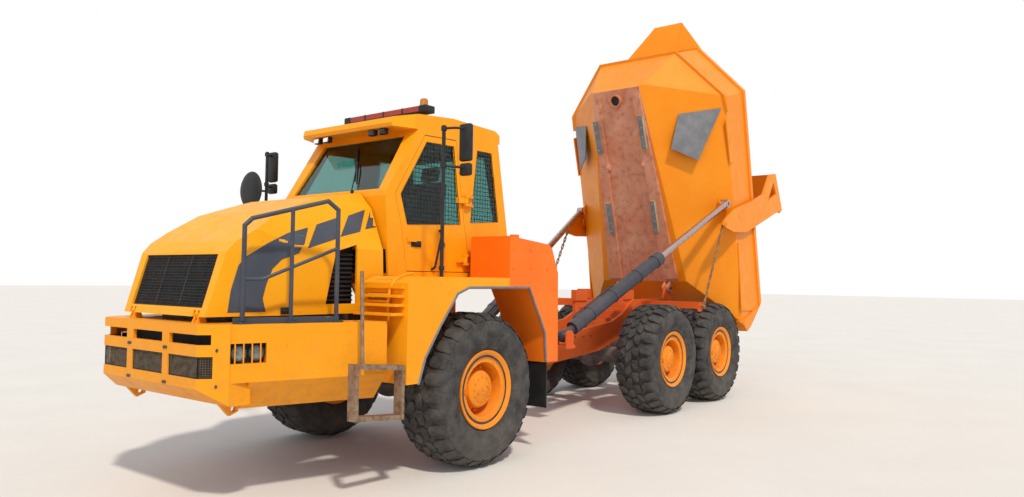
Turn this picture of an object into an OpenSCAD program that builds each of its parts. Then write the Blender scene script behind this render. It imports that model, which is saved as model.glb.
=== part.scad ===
// Articulated dump truck, 30 tonne class, standing with its bed raised.
// X points forward, Y to the driver's left, Z up. Millimetres.
// Places along X are given from the front axle. The model is then shifted so that
// its origin lies at the middle of its outline on the ground.

/* [Running gear] */
// Front axle to the first axle of the bogie
front_to_mid = 4175; // [3900:5:4600]
// Distance between the two bogie axles
bogie_spacing = 1680; // [1650:5:1900]
// Radius of a tyre over its tread
tyre_r = 778; // [740:1:810]
// Width of a tyre
tyre_w = 600; // [540:5:630]
// Centre of the truck to the centre of a tyre
half_track = 1140; // [1110:5:1200]
// Radius of the rim's bead seat
rim_r = 317; // [300:1:340]
// Radius of the ring on the outside of a rim
rim_ring_r = 392; // [370:1:420]
// Radius of an axle's spindle
spindle_r = 90; // [80:1:110]

/* [Articulation] */
// Height of the oscillation axis
hitch_z = 980; // [940:5:1040]
// Front axle to the steering pivot
pivot_back = 1450; // [1400:5:1500]
// Radius of the steering pivot pin
pivot_pin_r = 60; // [50:1:75]
// Radius of the oscillation tube
hitch_tube_r = 190; // [170:5:210]

/* [Bed] */
// How far the bed stands tipped
dump_angle = 72; // [60:1:75]
// Front axle to the bed's hinge
hinge_back = 5824; // [5750:2:5900]
// Height of the bed's hinge
hinge_z = 1775; // [1740:5:1800]
// Underside of the bed above its hinge
floor_over_hinge = 80; // [75:1:95]
// Half of the bed's width over its side walls
bed_half_w = 1450; // [1420:5:1480]
// Length of the bed's flat underside in front of the hinge
floor_len = 3355; // [3300:5:3400]
// Reach of the bed's nose in front of the hinge
nose_reach = 3755; // [3700:5:3800]
// Height of the nose's knee above the underside
knee_h = 880; // [840:5:920]
// Half of the width of the nose's square front
nose_half_w = 710; // [660:5:760]
// Length of the tail behind the hinge
tail_len = 1000; // [960:5:1040]
// Height of the tail's lip above the underside
tail_h = 620; // [560:5:640]
// Upward tilt of the walls towards the front
wall_tilt = 6; // [5:0.5:7]
// Height of the chine in the tilted section
chine_h = 600; // [570:5:640]
// Height of the wall's top edge in the tilted section
wall_h = 1440; // [1380:5:1460]
// Thickness of the bed's plates
plate = 16; // [12:1:24]

/* [Tailgate] */
// Hinge to the tailgate's pivot, along the bed
gate_pivot_u = 1000; // [960:5:1040]
// Underside to the tailgate's pivot
gate_pivot_w = 720; // [690:5:740]
// Pivot to the gate's plate
gate_reach = 2050; // [2040:5:2100]
// How far the gate stands open
gate_open = 81; // [78:1:84]
// Thickness of a gate arm
gate_arm_t = 40; // [30:1:50]

/* [Cab and bonnet] */
// Half of the cab's width
cab_half_w = 800; // [780:5:815]
// Height of the deck that the cab stands on
deck_z = 1900; // [1880:5:1920]
// Thickness of the cab's walls
cab_wall = 40; // [30:1:50]
// Thickness of a window pane
pane = 6; // [5:1:8]
// Half of the bonnet's width
bonnet_half_w = 780; // [740:5:790]
// Thickness of the bonnet's shell
bonnet_t = 25; // [20:1:30]

/* [Hidden] */
$fn = 48;

orange = "darkorange";
deep_orange = "orangered";
dark = "dimgray";
black = "#222222";
run_fit = 0.05;
seat_gap = 0.3;
axle_z = tyre_r;
mid_x = -front_to_mid;
rear_x = -front_to_mid - bogie_spacing;
bogie_x = (mid_x + rear_x) / 2;
pivot_x = -pivot_back;
hinge_x = -hinge_back;

// Bumper, its corner and the side of the apron, as seen from above
nose_x = 2760;
corner_x = 2620;
corner_y = 900;
apron_rear_x = 1280;
apron_rear_y = 1310;
apron_top = 1500;
apron_crease = 1040;
apron_low = 800;
apron_t = 30;
bumper_lap = 70;
// The lower plate of the apron ends this much shorter, behind the tow lug
tow_gap = 140;
apron_len = sqrt(pow(corner_x - apron_rear_x, 2) + pow(apron_rear_y - corner_y, 2)) - bumper_lap;
apron_yaw = atan2(apron_rear_y - corner_y, corner_x - apron_rear_x);
// Headlight's recess, along the side of the apron and in height
lamp_from = 1060;
lamp_to = 1345;
lamp_low = 1190;
lamp_high = 1350;

// Frame rails of the front unit
rail_y = 420;
rail_w = 90;
rail_low = 930;
rail_top = 1240;
rail_front = 2450;
rail_rear = -620;

// Yoke and hitch
yoke_gap = 420;
yoke_t = 70;
hitch_tube_x = -2250;
ring_front = -1800;
ring_rear = -2150;

// Cab, fender and tank
cab_z = deck_z + seat_gap;
cab_floor = cab_z + cab_wall + seat_gap;
fender_y = 830;
fender_out = 1440;
tank_y = 900;
tank_low = 980;
// Wheel arch over a front tyre, as an outline in X and Z
arch = [[1010, 900], [930, 1160], [730, 1450], [500, 1740], [330, 1800], [-600, 1800], [-700, 1740],
    [-940, 1310], [-1000, 900]];
// Door and windows, as outlines in X and Z, or Y and Z
door_outline = [[560, 1950], [640, 2400], [735, 2720], [330, 3360], [-150, 3375], [-300, 2480], [-420, 1950]];
door_middle = [150, 2600];
door_shrink = 0.989;
door_window = [[560, 2420], [655, 2720], [300, 3290], [-110, 3300], [-235, 2470]];
rear_side_window = [[-500, 3310], [-740, 3310], [-880, 2540], [-400, 2500]];
windscreen = [[-680, 2760], [680, 2760], [640, 3340], [-640, 3340]];
rear_window = [[-640, 2520], [640, 2520], [600, 3300], [-600, 3300]];
// Upright hinge pin of the door, and the heights of its two hinges
door_hinge = [-290, 838];
door_hinge_z = [2060, 2700];
door_pin_r = 10;
// Steering column
column_from = [560, 150, 2350];
column_to = [330, 150, 2620];
// Hinge of the bonnet
bonnet_hinge = [2600, 1550];
bonnet_lug_y = [-520, 520];
bonnet_pin_r = 12;

// Steering cylinders: pin on the frame, eye at the hitch
steer_front = [-450, 600, hitch_z];
steer_eye = [-1650, 350, hitch_z];
steer_pin_r = 25;
steer_len = norm(steer_eye - steer_front);
steer_barrel_len = 800;
steer_barrel_r = 48;
steer_bore_r = 38;
steer_rod_r = 25;
steer_eye_r = 42;
// Far side of the piston, from the pin
steer_piston = 484;

// Rear frame and bogie
frame_y = 450;
frame_t = 40;
hinge_pin_r = 40;
pad_t = 100;
pad_y = [380, 460];
longeron_t = 45;
rest_top = hinge_z + floor_over_hinge - pad_t - 5;
rail_over = 1600;
bogie_y = 640;
bogie_z = 850;
bogie_pin_r = 70;
axle_r = 120;
chain_foot = [bogie_x, 1473, 1520];
chain_pin_r = 20;
chain_r = 16;
// Side plate of the rear frame, cranked up towards the bed's hinge
frame_outline = [[-2080, 700], [-2450, 770], [-3700, 870], [-4200, 1010], [-5600, 1060], [-6150, 1250],
    [-6150, 1480], [-6050, 1600], [-4700, 1600], [-4400, 1400], [-4080, 1280], [-2900, 1160], [-2450, 1240],
    [-2080, 1260]];

// Place of a bed point (along, above the underside) with the bed raised
function bed_x(u, w) = hinge_x + u * cos(dump_angle) - (w + floor_over_hinge) * sin(dump_angle);
function bed_z(u, w) = hinge_z + u * sin(dump_angle) + (w + floor_over_hinge) * cos(dump_angle);

// Hoist cylinders: ball on the frame, eye beside the bed's ear
hoist_base = [-2310, 750, 1165];
hoist_eye_bed = [1250, 550];
hoist_eye_y = 1400;
hoist_eye = [bed_x(hoist_eye_bed[0], hoist_eye_bed[1]), hoist_eye_y,
    bed_z(hoist_eye_bed[0], hoist_eye_bed[1])];
hoist_len = norm(hoist_eye - hoist_base);
hoist_barrel_len = 2270;
hoist_barrel_r = 92;
hoist_bore_r = 76;
hoist_rod_r = 52;
hoist_ball_r = 82;
hoist_eye_r = 72;
hoist_piston = 1990;

// Slope of the bed's lower walls: sideways for each step up
side_slope = 1.08;
function slope_y(n) = bed_half_w - side_slope * (chine_h - n);
// Height of the lower wall over the underside's plane
function slope_w(u, y) = (chine_h - (bed_half_w - y) / side_slope + u * sin(wall_tilt)) / cos(wall_tilt);
// Plane distance of a wall that rises by rise over run, measured level
function level_t(run, rise) = sqrt(run * run + rise * rise) / rise;
nose_run = nose_reach - floor_len;
nose_lean = level_t(nose_run, knee_h);
tail_slope = tail_h / (tail_len + 60);
// Corner planes of the nose
corner_run = [nose_reach - 2930, bed_half_w - nose_half_w];
corner_turn = atan2(corner_run[0], corner_run[1]);
corner_reach = nose_reach * cos(corner_turn) + nose_half_w * sin(corner_turn);
corner_foot = floor_len * cos(corner_turn) + 460 * sin(corner_turn);

// Tailgate: pin, arm and gate, along the arm from its pivot and then square to it
gate_pin_r = 40;
arm_y = 1495;
arm_outline = [[-600, 20], [-150, -130], [150, -160], [700, -215], [1150, -285], [1533, -617], [1830, -617],
    [gate_reach + 20, 60], [1960, 110], [1880, 70], [1100, 180], [260, 295], [-260, 235], [-560, 140],
    [-630, 90]];
arm_window = [[1355, -150], [1690, -470], [1800, -250]];
chain_lug_arm = [-570, 80];
arm_dir = 180 - gate_open;
function arm_u(p) = gate_pivot_u + p[0] * cos(arm_dir) - p[1] * sin(arm_dir);
function arm_w(p) = gate_pivot_w + p[0] * sin(arm_dir) + p[1] * cos(arm_dir);
chain_lug = [arm_u(chain_lug_arm), arm_w(chain_lug_arm)];
chain_top = [bed_x(chain_lug[0], chain_lug[1]), bed_z(chain_lug[0], chain_lug[1])];

// The outline runs from the bumper to the rearmost corner of the open gate
rear_most = min([for (p = arm_outline) bed_x(arm_u(p), arm_w(p))]);
shift_x = -(nose_x + rear_most) / 2;

// Outline in X and Z, extruded from y0 to y1
module across(y0, y1, points)
    translate([0, y1, 0]) rotate([90, 0, 0]) linear_extrude(y1 - y0) polygon(points);

// Outline in Y and Z, extruded from x0 to x1
module along(x0, x1, points)
    translate([x0, 0, 0]) rotate([90, 0, 90]) linear_extrude(x1 - x0) polygon(points);

// Outline in X and Y, extruded from z0 to z1
module upward(z0, z1, points)
    translate([0, 0, z0]) linear_extrude(z1 - z0) polygon(points);

module block(low, high)
    translate(low) cube(high - low);

module both_sides() {
    children();
    mirror([0, 1, 0]) children();
}

module side(s)
    if (s > 0) children();
    else mirror([0, 1, 0]) children();

module y_bar(r, x, z, y0, y1)
    translate([x, y1, z]) rotate([90, 0, 0]) cylinder(r = r, h = y1 - y0);

module x_bar(r, y, z, x0, x1)
    translate([x0, y, z]) rotate([0, 90, 0]) cylinder(r = r, h = x1 - x0);

module z_bar(r, x, y, z0, z1)
    translate([x, y, z0]) cylinder(r = r, h = z1 - z0);

// Turns +Z to point from one place to another
module aim(from, to) {
    d = to - from;
    translate(from) rotate([0, acos(d[2] / norm(d)), atan2(d[1], d[0])]) children();
}

module tube(from, to, r)
    aim(from, to) cylinder(r = r, h = norm(to - from));

// Bent rail: straight tubes with a ball at each bend
module bent_tube(points, r) {
    for (i = [0 : len(points) - 2]) tube(points[i], points[i + 1], r);
    for (i = [1 : len(points) - 2]) aim(points[i], points[i + 1]) sphere(r = r + 0.6);
}

module stand() translate([shift_x, 0, 0]) children();

module bed_frame()
    translate([hinge_x, 0, hinge_z]) rotate([0, -dump_angle, 0])
        translate([0, 0, floor_over_hinge]) children();

module gate_frame()
    bed_frame() translate([gate_pivot_u, 0, gate_pivot_w]) rotate([0, -arm_dir, 0]) children();

// Front unit

module front_frame() {
    rail_out = rail_y + rail_w / 2 + seat_gap;
    rail_in = rail_y - rail_w / 2 - seat_gap;
    color(orange) stand() {
        both_sides() {
            block([rail_rear, rail_y - rail_w / 2, rail_low], [rail_front, rail_y + rail_w / 2, rail_top]);
            // brackets that carry the fender and the tank
            block([1030, rail_out, 1080], [1130, fender_y - seat_gap, 1180]);
            upward(1070, 1180, [[-480, rail_out], [-600, rail_out], [-1080, tank_y - seat_gap],
                [-960, tank_y - seat_gap]]);
            // posts under the cab
            for (x = [560, -560])
                block([x, rail_y - 40, rail_top + seat_gap], [x + 80, rail_y + 40, deck_z - 80 - seat_gap]);
            steer_lug();
        }
        for (x = [2330, 1250, -300])
            block([x, -rail_in, rail_low], [x + 120, rail_in, rail_low + 90]);
        for (x = [560, -560]) block([x, -rail_y - 40, deck_z - 80], [x + 80, rail_y + 40, deck_z]);
        // yoke: two plates and the web in front of them
        for (z = [hitch_z - yoke_gap / 2 - yoke_t, hitch_z + yoke_gap / 2]) yoke_plate(z);
        block([rail_rear - 60, -rail_y, hitch_z - yoke_gap / 2 + seat_gap],
            [rail_rear - seat_gap, rail_y, hitch_z + yoke_gap / 2 - seat_gap]);
    }
}

module yoke_plate(z)
    difference() {
        upward(z, z + yoke_t, [[rail_rear - seat_gap, -rail_y], [rail_rear - seat_gap, rail_y],
            [rail_rear - 60, rail_y], [pivot_x - 100, 120], [pivot_x - 100, -120], [rail_rear - 60, -rail_y]]);
        z_bar(pivot_pin_r + run_fit, pivot_x, 0, 0, 2000);
    }

// Ears above and below the barrel's eye, with its pin
module steer_lug()
    translate(steer_front) {
        foot = rail_y + rail_w / 2 + seat_gap - steer_front[1];
        for (z = [-75, 45]) upward(z, z + 30, [[-70, foot], [70, foot], [60, 60], [-60, 60]]);
        z_bar(steer_pin_r, 0, 0, -80, 80);
    }

module engine_block() {
    color(dark) stand()
        difference() {
            block([900, -340, rail_low + 90], [2050, 340, 1900]);
            both_sides() block([850, 240, 1650], [2100, 400, 1950]);
        }
}

module radiator() {
    color(black) stand() block([2250, -520, rail_top], [2360, 520, 1960]);
}

// Frame of the apron's side: X along its face from the rear, Y out of it
module apron_side()
    translate([apron_rear_x, apron_rear_y, 0]) rotate([0, 0, -apron_yaw]) children();

// One side of the apron: walkway, upright face, and lower plate that is tucked in
module apron_panels() {
    t = apron_t;
    walk = apron_top - t;
    apron_bar([[-280, walk], [-280, apron_top], [0, apron_top], [0, walk]]);
    difference() {
        apron_bar([[-t, walk - seat_gap], [0, walk - seat_gap], [0, apron_crease + seat_gap],
            [-t, apron_crease + t / 2 + seat_gap]]);
        lamp_recess();
    }
    apron_bar([[0, apron_crease], [-250, apron_low], [-250 - t, apron_low], [-250 - t, apron_low + t],
        [-t, apron_crease + t / 2]], apron_len - tow_gap);
    headlight_bars();
}

module lamp_recess()
    apron_side() block([lamp_from, -100, lamp_low], [lamp_to, 50, lamp_high]);

// Section that runs along the apron's side and ends at the bumper
module apron_bar(points, length = apron_len)
    difference() {
        apron_side() rotate([90, 0, 90]) linear_extrude(length) polygon(points);
        bumper_block(-seat_gap);
    }

module front_apron() {
    color(orange) stand() both_sides() {
        apron_panels();
        tow_lug();
    }
}

module front_bumper() {
    color(orange) stand() {
        difference() {
            bumper_block(0);
            bumper_hollow();
            for (y = [-590, 0, 590]) {
                block([nose_x - 200, y - 240, 1340], [nose_x + 50, y + 240, 1420]);
                block([nose_x - 400, y - 250, 1080], [nose_x + 50, y + 250, 1250]);
            }
            both_sides() lamp_recess();
        }
        // ears for the bonnet's hinge
        for (y = bonnet_lug_y) {
            for (e = [y - 42, y + 22])
                across(e, e + 20, [[2560, apron_top - 5], [2650, apron_top - 5], [2618, bonnet_hinge[1] + 15],
                    [2582, bonnet_hinge[1] + 15]]);
            y_bar(bonnet_pin_r, bonnet_hinge[0], bonnet_hinge[1], y - 42, y + 42);
        }
        // ledge under the front ends of the rails
        block([2400, -500, 880], [2540, 500, rail_low - seat_gap]);
    }
}

// Bumper drawn in by t: upright face above, tucked in below, with cut corners
module bumper_block(t)
    intersection() {
        across(-2000, 2000, [[2380 + t, apron_top - t], [nose_x - t, apron_top - t], [nose_x - t, 1000 + t / 2],
            [2560 - t / 2, 860 + t], [2380 + t, 860 + t]]);
        upward(0, 2000, [[2380 + t, -920 + t], [2575 - t / 2, -920 + t], [nose_x - t, -760 + t / 2],
            [nose_x - t, 760 - t / 2], [2575 - t / 2, 920 - t], [2380 + t, 920 - t]]);
    }

module bumper_hollow()
    intersection() {
        across(-2000, 2000, [[2300, apron_top - apron_t], [nose_x - apron_t, apron_top - apron_t],
            [nose_x - apron_t, 1020], [2540, 900], [2300, 900]]);
        upward(0, 2000, [[2300, -880], [2560, -880], [nose_x - apron_t, -740], [nose_x - apron_t, 740],
            [2560, 880], [2300, 880]]);
    }

module tow_lug()
    difference() {
        across(730, 770, [[2385, 860 - seat_gap], [2555, 860 - seat_gap], [2465, 760], [2385, 790]]);
        y_bar(24, 2430, 815, 700, 800);
    }

// Four upright bars over the headlight's recess
module headlight_bars()
    apron_side() for (i = [0 : 3])
        z_bar(6, lamp_from + 45 + 67 * i, -7, lamp_low + seat_gap, lamp_high - seat_gap);

// Side view of the bonnet with its shell thickness taken off
module bonnet_side(t)
    polygon([[2640 - t, 1550 - t], [2480 - t, 2080 - t * 0.7], [2400 - t * 0.5, 2170 - t], [1950, 2460 - t],
        [1450, 2635 - t], [885 - t, 2725 - t], [835 - t, 1550 - t]]);

module bonnet_block(t)
    intersection() {
        translate([0, 1000, 0]) rotate([90, 0, 0]) linear_extrude(2000) bonnet_side(t);
        upward(1000, 3000, [[800, -bonnet_half_w + t], [1900, -bonnet_half_w + t], [2660 - t, -660 + t],
            [2660 - t, 660 - t], [1900, bonnet_half_w - t], [800, bonnet_half_w - t]]);
        // both shoulders of the section lean in above the side
        along(700, 2700, [[-bonnet_half_w + t, 1400], [-bonnet_half_w + t, 2150], [-620 + t, 2560 - t],
            [-420, 2760 - t], [420, 2760 - t], [620 - t, 2560 - t], [bonnet_half_w - t, 2150],
            [bonnet_half_w - t, 1400]]);
    }

module bonnet() {
    color(orange) stand() {
        for (y = bonnet_lug_y) difference() {
            across(y - 17, y + 17, [[2582, 1532], [2618, 1532], [2632, 1570], [2619, 1618], [2597, 1618],
                [2576, 1560]]);
            y_bar(bonnet_pin_r + run_fit, bonnet_hinge[0], bonnet_hinge[1], y - 50, y + 50);
        }
        difference() {
            bonnet_block(0);
            bonnet_block(bonnet_t);
            for (y = bonnet_lug_y) block([2500, y - 47, 1500], [2700, y + 47, 1600]);
            // mouth for the grille
            across(-580, 580, [[2700, 1620], [2300, 1620], [2300, 2060], [2700, 2060]]);
            // air vents in both sides
            both_sides() across(650, 900, [[1180, 1640], [1540, 1640], [1430, 2120], [1180, 2190]]);
        }
    }
}

module bonnet_grille() {
    color(black) stand()
        intersection() {
            union() {
                for (y = [-400 : 200 : 400]) block([2200, y - 7, 1640], [2700, y + 7, 2040]);
                for (z = [1690 : 40 : 2010]) block([2200, -560, z - 7], [2700, 560, z + 7]);
                difference() {
                    block([2200, -579.7, 1620.3], [2700, 579.7, 2059.7]);
                    block([2100, -550, 1650], [2800, 550, 2030]);
                }
            }
            across(-600, 600, [[2600, 1600], [2575, 1600], [2440, 2070], [2465, 2070]]);
        }
}

module front_fenders() {
    color(orange) stand() both_sides() {
        difference() {
            across(fender_y, fender_out, [[1160, 940], [1160, 1840], [1020, deck_z], [-300, deck_z],
                [-300, 1700], [930, 940]]);
            across(800, 1500, [for (p = arch) [min(p[0], 1020), p[1]]]);
        }
        // deck between the fender and the cab
        block([-300, 700, deck_z - 60], [700, fender_y + 5, deck_z]);
        // steps in front of the door
        for (i = [0 : 3])
            block([1150, 900, 1790 - 80 * i], [1200 + 40 * i, 1400, 1815 - 80 * i]);
    }
}

module side_tanks() {
    color(deep_orange) stand() both_sides()
        difference() {
            across(tank_y, fender_out, [[-300 - seat_gap, 2330], [-1000, 2270], [-1060, 2230],
                [-1180, 1960], [-1190, tank_low],
                [-970, tank_low], [-940, 1310], [-640, 1800], [-300 - seat_gap, 1800]]);
            across(1380, 1500, [[-420, 1800], [-640, 1800], [-900, 1340], [-900, 1300], [-760, 1300]]);
        }
}

// Cab, as an outline in X and Z, drawn in by t
function cab_outline(t) = [[800 - t, cab_z + t], [860 - t, 2690], [850 - 1.2 * t, 2740],
    [430 - 1.2 * t, 3400 - t], [-860 + t, 3440 - t], [-1060 + t, 2380], [-1060 + t, cab_z + t]];

module cab_shell() {
    color(orange) stand() {
        difference() {
            across(-cab_half_w, cab_half_w, cab_outline(0));
            across(-cab_half_w + cab_wall, cab_half_w - cab_wall, cab_outline(cab_wall));
            // door opening on the left, window in its place on the right
            across(700, 900, door_outline);
            across(-900, -700, door_window);
            both_sides() across(700, 900, rear_side_window);
            along(300, 1200, windscreen);
            along(-1200, -700, rear_window);
        }
        // ears and pins of the door's hinges
        for (z = door_hinge_z) {
            z_bar(door_pin_r, door_hinge[0], door_hinge[1], z - 30, z + 90);
            for (e = [z - 30, z + 62])
                upward(e, e + 28, [[-428, cab_half_w - 5], [-408, cab_half_w - 5], [-408, cab_half_w + 6],
                    [-268, cab_half_w + 6], [-268, 855], [-312, 855], [-428, 815]]);
        }
    }
}

// Roof cap with its visor over the windscreen
module cab_roof() {
    color(orange) stand()
        intersection() {
            across(-1000, 1000, [[430, 3400 + seat_gap], [700, 3405], [715, 3440], [690, 3500], [420, 3560],
                [-100, 3600], [-820, 3580], [-900, 3540], [-905, 3440 + seat_gap], [-860, 3440 + seat_gap]]);
            upward(3000, 4000, [[-905, -790], [-905, 790], [480, 800], [715, 700], [715, -700], [480, -800]]);
        }
}

module cab_glass() {
    color("lightblue", 0.4) stand() {
        // windscreen, in the slanted plane of its opening
        intersection() {
            across(-700, 700, [[836, 2720], [836 - pane * 1.2, 2720], [404 - pane * 1.2, 3380], [404, 3380]]);
            along(300, 1200, windscreen);
        }
        across(-cab_half_w + 10, -cab_half_w + 10 + pane, door_window);
        both_sides() across(cab_half_w - 10 - pane, cab_half_w - 10, rear_side_window);
        intersection() {
            across(-700, 700, [[-1019, 2480], [-1019 - pane, 2480], [-861 - pane, 3320], [-861, 3320]]);
            along(-1200, -700, rear_window);
        }
    }
}

module dashboard() {
    color(black) stand() {
        across(-700, 700, [[740, cab_floor], [740, 2560], [700, 2640], [520, 2640], [470, 2520], [560, 2300],
            [600, cab_floor]]);
        tube(column_from, column_to, 35);
    }
}

module steering_wheel() {
    color(black) stand()
        aim(column_from, column_to) translate([0, 0, norm(column_to - column_from) + 10 + seat_gap]) {
            rotate_extrude() translate([190, 0]) circle(r = 14);
            cylinder(r = 40, h = 20, center = true);
            for (a = [90, 210, 330]) rotate([0, 0, a]) translate([0, -12, -6]) cube([190, 24, 12]);
        }
}

module driver_seat() {
    color(black) stand() translate([0, 150, 0]) {
        block([-250, -180, cab_floor], [150, 180, 2245]);
        across(-250, 250, [[-300, 2240], [240, 2240], [260, 2300], [240, 2360], [-180, 2340], [-330, 2980],
            [-400, 2980], [-450, 2960], [-360, 2300]]);
        across(-130, 130, [[-340, 2970], [-400, 2970], [-430, 3160], [-370, 3170]]);
    }
}

module cab_door() {
    color(orange) stand() {
        difference() {
            across(cab_half_w - 32, cab_half_w - 2,
                [for (p = door_outline) door_middle + (p - door_middle) * door_shrink]);
            across(700, 900, door_window);
        }
        // straps and knuckles of the hinges
        for (z = door_hinge_z) difference() {
            union() {
                z_bar(20, door_hinge[0], door_hinge[1], z, z + 60);
                block([door_hinge[0], 824, z], [-170, 838, z + 60]);
                block([-235, cab_half_w - 10, z], [-170, 830, z + 60]);
            }
            z_bar(door_pin_r + run_fit, door_hinge[0], door_hinge[1], 0, 4000);
        }
        // pull handle
        block([440, cab_half_w - 4, 2250], [560, cab_half_w + 20, 2290]);
    }
}

module door_glass() {
    color("lightblue", 0.4) stand() across(cab_half_w - 20 - pane, cab_half_w - 20, door_window);
}

module light_bar() {
    color("firebrick") stand() {
        block([40, -650, 3655], [180, 650, 3720]);
        both_sides()
            across(480, 520, [[90, 3585.4 + seat_gap], [130, 3582.3 + seat_gap], [130, 3656], [90, 3656]]);
    }
}

module mirrors() {
    color(black) stand() both_sides() {
        z_bar(18, 690, 1400, deck_z + seat_gap, 3330);
        bent_tube([[690, 1400, 3300], [620, 1480, 3310], [530, 1520, 3310]], 12);
        bent_tube([[690, 1400, 2950], [620, 1480, 2940], [530, 1520, 2940]], 12);
        block([485, 1460, 2860], [550, 1600, 3360]);
    }
}

module walkway_rail() {
    color(dark) stand() {
        post_front = [2450, 890];
        post_mid = [2080, 1010];
        post_rear = [1700, 1125];
        foot = apron_top + seat_gap;
        top = [2350, 2450, 2530];
        // kerb along the edge of the walkway
        upward(foot, foot + 50, [[2510, 845], [2510, 870], [1690, 1150], [1690, 1100]]);
        bent_tube([[post_front[0], post_front[1], foot + 20], [post_front[0], post_front[1], top[0] - 60],
            [post_front[0] - 60, post_front[1] + 15, top[0]], [post_rear[0] + 90, post_rear[1] - 25, top[2]],
            [post_rear[0], post_rear[1], top[2] - 70], [post_rear[0], post_rear[1], foot + 20]], 19);
        tube([post_mid[0], post_mid[1], foot], [post_mid[0], post_mid[1], top[1]], 17);
        bent_tube([[post_front[0], post_front[1], 1860], [post_front[0] - 150, post_front[1] + 45, 1860],
            [post_rear[0], post_rear[1], 2130]], 15);
    }
}

// Step frame that hangs outside the apron, and its grab pole
module ladder() {
    color("tan") stand() {
        difference() {
            across(1330, 1430, [[1170, 640], [1730, 690], [1730, 1165], [1170, 1115]]);
            across(1300, 1500, [[1205, 685], [1695, 728], [1695, 1120], [1205, 1075]]);
        }
        // stay to the apron and pole beside it
        block([1400, 1273.6, 1100], [1500, 1335, 1130]);
        tube([1600, 1360, 1120], [1600, 1330, 1940], 16);
    }
}

module headlights() {
    color("white") stand() both_sides() apron_side()
        block([lamp_from + seat_gap, -70, lamp_low + seat_gap],
            [lamp_to - seat_gap, -18, lamp_high - seat_gap]);
}

module work_lamps() {
    color("white") stand() both_sides() block([620, 470, 3340], [680, 570, 3403]);
}

module front_axle() {
    color(dark) stand() {
        y_bar(120, 0, axle_z, -700, 700);
        translate([0, 0, axle_z]) sphere(r = 210);
        both_sides() {
            y_bar(spindle_r, 0, axle_z, 600, half_track + 40);
            // spring strut up to the frame
            z_bar(60, 0, rail_y, axle_z, rail_low);
            // leading arm
            tube([0, 300, axle_z - 40], [1180, 300, rail_low + 20], 45);
            block([1150, 255, rail_low - 25], [1250 - seat_gap, 345, rail_low + 65]);
        }
    }
}

module front_mudflaps() {
    color(black) stand() both_sides() block([-1000, 860, 480], [-985, 1430, tank_low - seat_gap]);
}

// Wheels

// Rim with its bead seats, disc and hub drum, as a section: radius, then out along the axle
module rim_section() polygon([
    [spindle_r + run_fit, -80], [180, -80], [200, -40], [rim_r - 25, -40], [rim_r - 25, -262],
    [rim_ring_r - 12, -262], [rim_ring_r - 12, -240], [rim_r, -240], [rim_r, 240], [rim_ring_r, 240],
    [rim_ring_r, 262], [rim_r - 8, 262], [rim_r - 30, 200], [rim_r - 30, 0], [200, 0], [190, 150], [150, 190],
    [95, 195], [95, 120], [spindle_r + run_fit, 120]]);

module tyre_section() {
    half = tyre_w / 2;
    bead = rim_r + seat_gap;
    edge = rim_ring_r + 5;
    polygon([[bead, -239.7], [edge, -239.7], [edge + 25, -258], [500, -half + 4], [600, -half],
        [700, -half + 30], [tyre_r - 8, -half + 90], [tyre_r, 0], [tyre_r - 8, half - 90], [700, half - 30],
        [600, half], [500, half - 4], [edge + 25, 258], [edge, 239.7], [bead, 239.7], [bead, 150], [460, 190],
        [640, 200], [680, 150], [690, 0], [680, -150], [640, -200], [460, -190], [bead, -150]]);
}

module wheel_at(x, s)
    stand() side(s) translate([x, half_track, axle_z])
        rotate([-90, 0, 0]) rotate_extrude($fn = 96) children();

module rim_front_left() color(orange) wheel_at(0, 1) rim_section();
module rim_front_right() color(orange) wheel_at(0, -1) rim_section();
module rim_mid_left() color(orange) wheel_at(mid_x, 1) rim_section();
module rim_mid_right() color(orange) wheel_at(mid_x, -1) rim_section();
module rim_rear_left() color(orange) wheel_at(rear_x, 1) rim_section();
module rim_rear_right() color(orange) wheel_at(rear_x, -1) rim_section();
module tyre_front_left() color(black) wheel_at(0, 1) tyre_section();
module tyre_front_right() color(black) wheel_at(0, -1) tyre_section();
module tyre_mid_left() color(black) wheel_at(mid_x, 1) tyre_section();
module tyre_mid_right() color(black) wheel_at(mid_x, -1) tyre_section();
module tyre_rear_left() color(black) wheel_at(rear_x, 1) tyre_section();
module tyre_rear_right() color(black) wheel_at(rear_x, -1) tyre_section();

// Hitch and rear unit

module hitch() {
    color(deep_orange) stand() {
        // pin through both yoke plates
        pin_reach = yoke_gap / 2 + yoke_t + 20;
        z_bar(pivot_pin_r, pivot_x, 0, hitch_z - pin_reach, hitch_z + pin_reach);
        z_bar(150, pivot_x, 0, hitch_z - yoke_gap / 2 + 5, hitch_z + yoke_gap / 2 - 5);
        // body that widens to the flange, and the oscillation tube
        across(-160, 160, [[pivot_x, hitch_z - 185], [pivot_x, hitch_z + 185],
            [pivot_x - 180, hitch_z + 185], [ring_front + 80, hitch_z + 240],
            [ring_front + 80, hitch_z - 240], [pivot_x - 180, hitch_z - 185]]);
        x_bar(260, 0, hitch_z, ring_front + 5, ring_front + 80);
        x_bar(hitch_tube_r, 0, hitch_z, hitch_tube_x, ring_front + 80);
        x_bar(260, 0, hitch_z, hitch_tube_x - 30, hitch_tube_x);
        both_sides() {
            for (z = [steer_eye[2] - 75, steer_eye[2] + 45])
                upward(z, z + 30, [[steer_eye[0] - 90, 100], [steer_eye[0] + 110, 100],
                    [steer_eye[0] + 50, steer_eye[1] + 55], [steer_eye[0] - 50, steer_eye[1] + 55]]);
        }
    }
}

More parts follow.
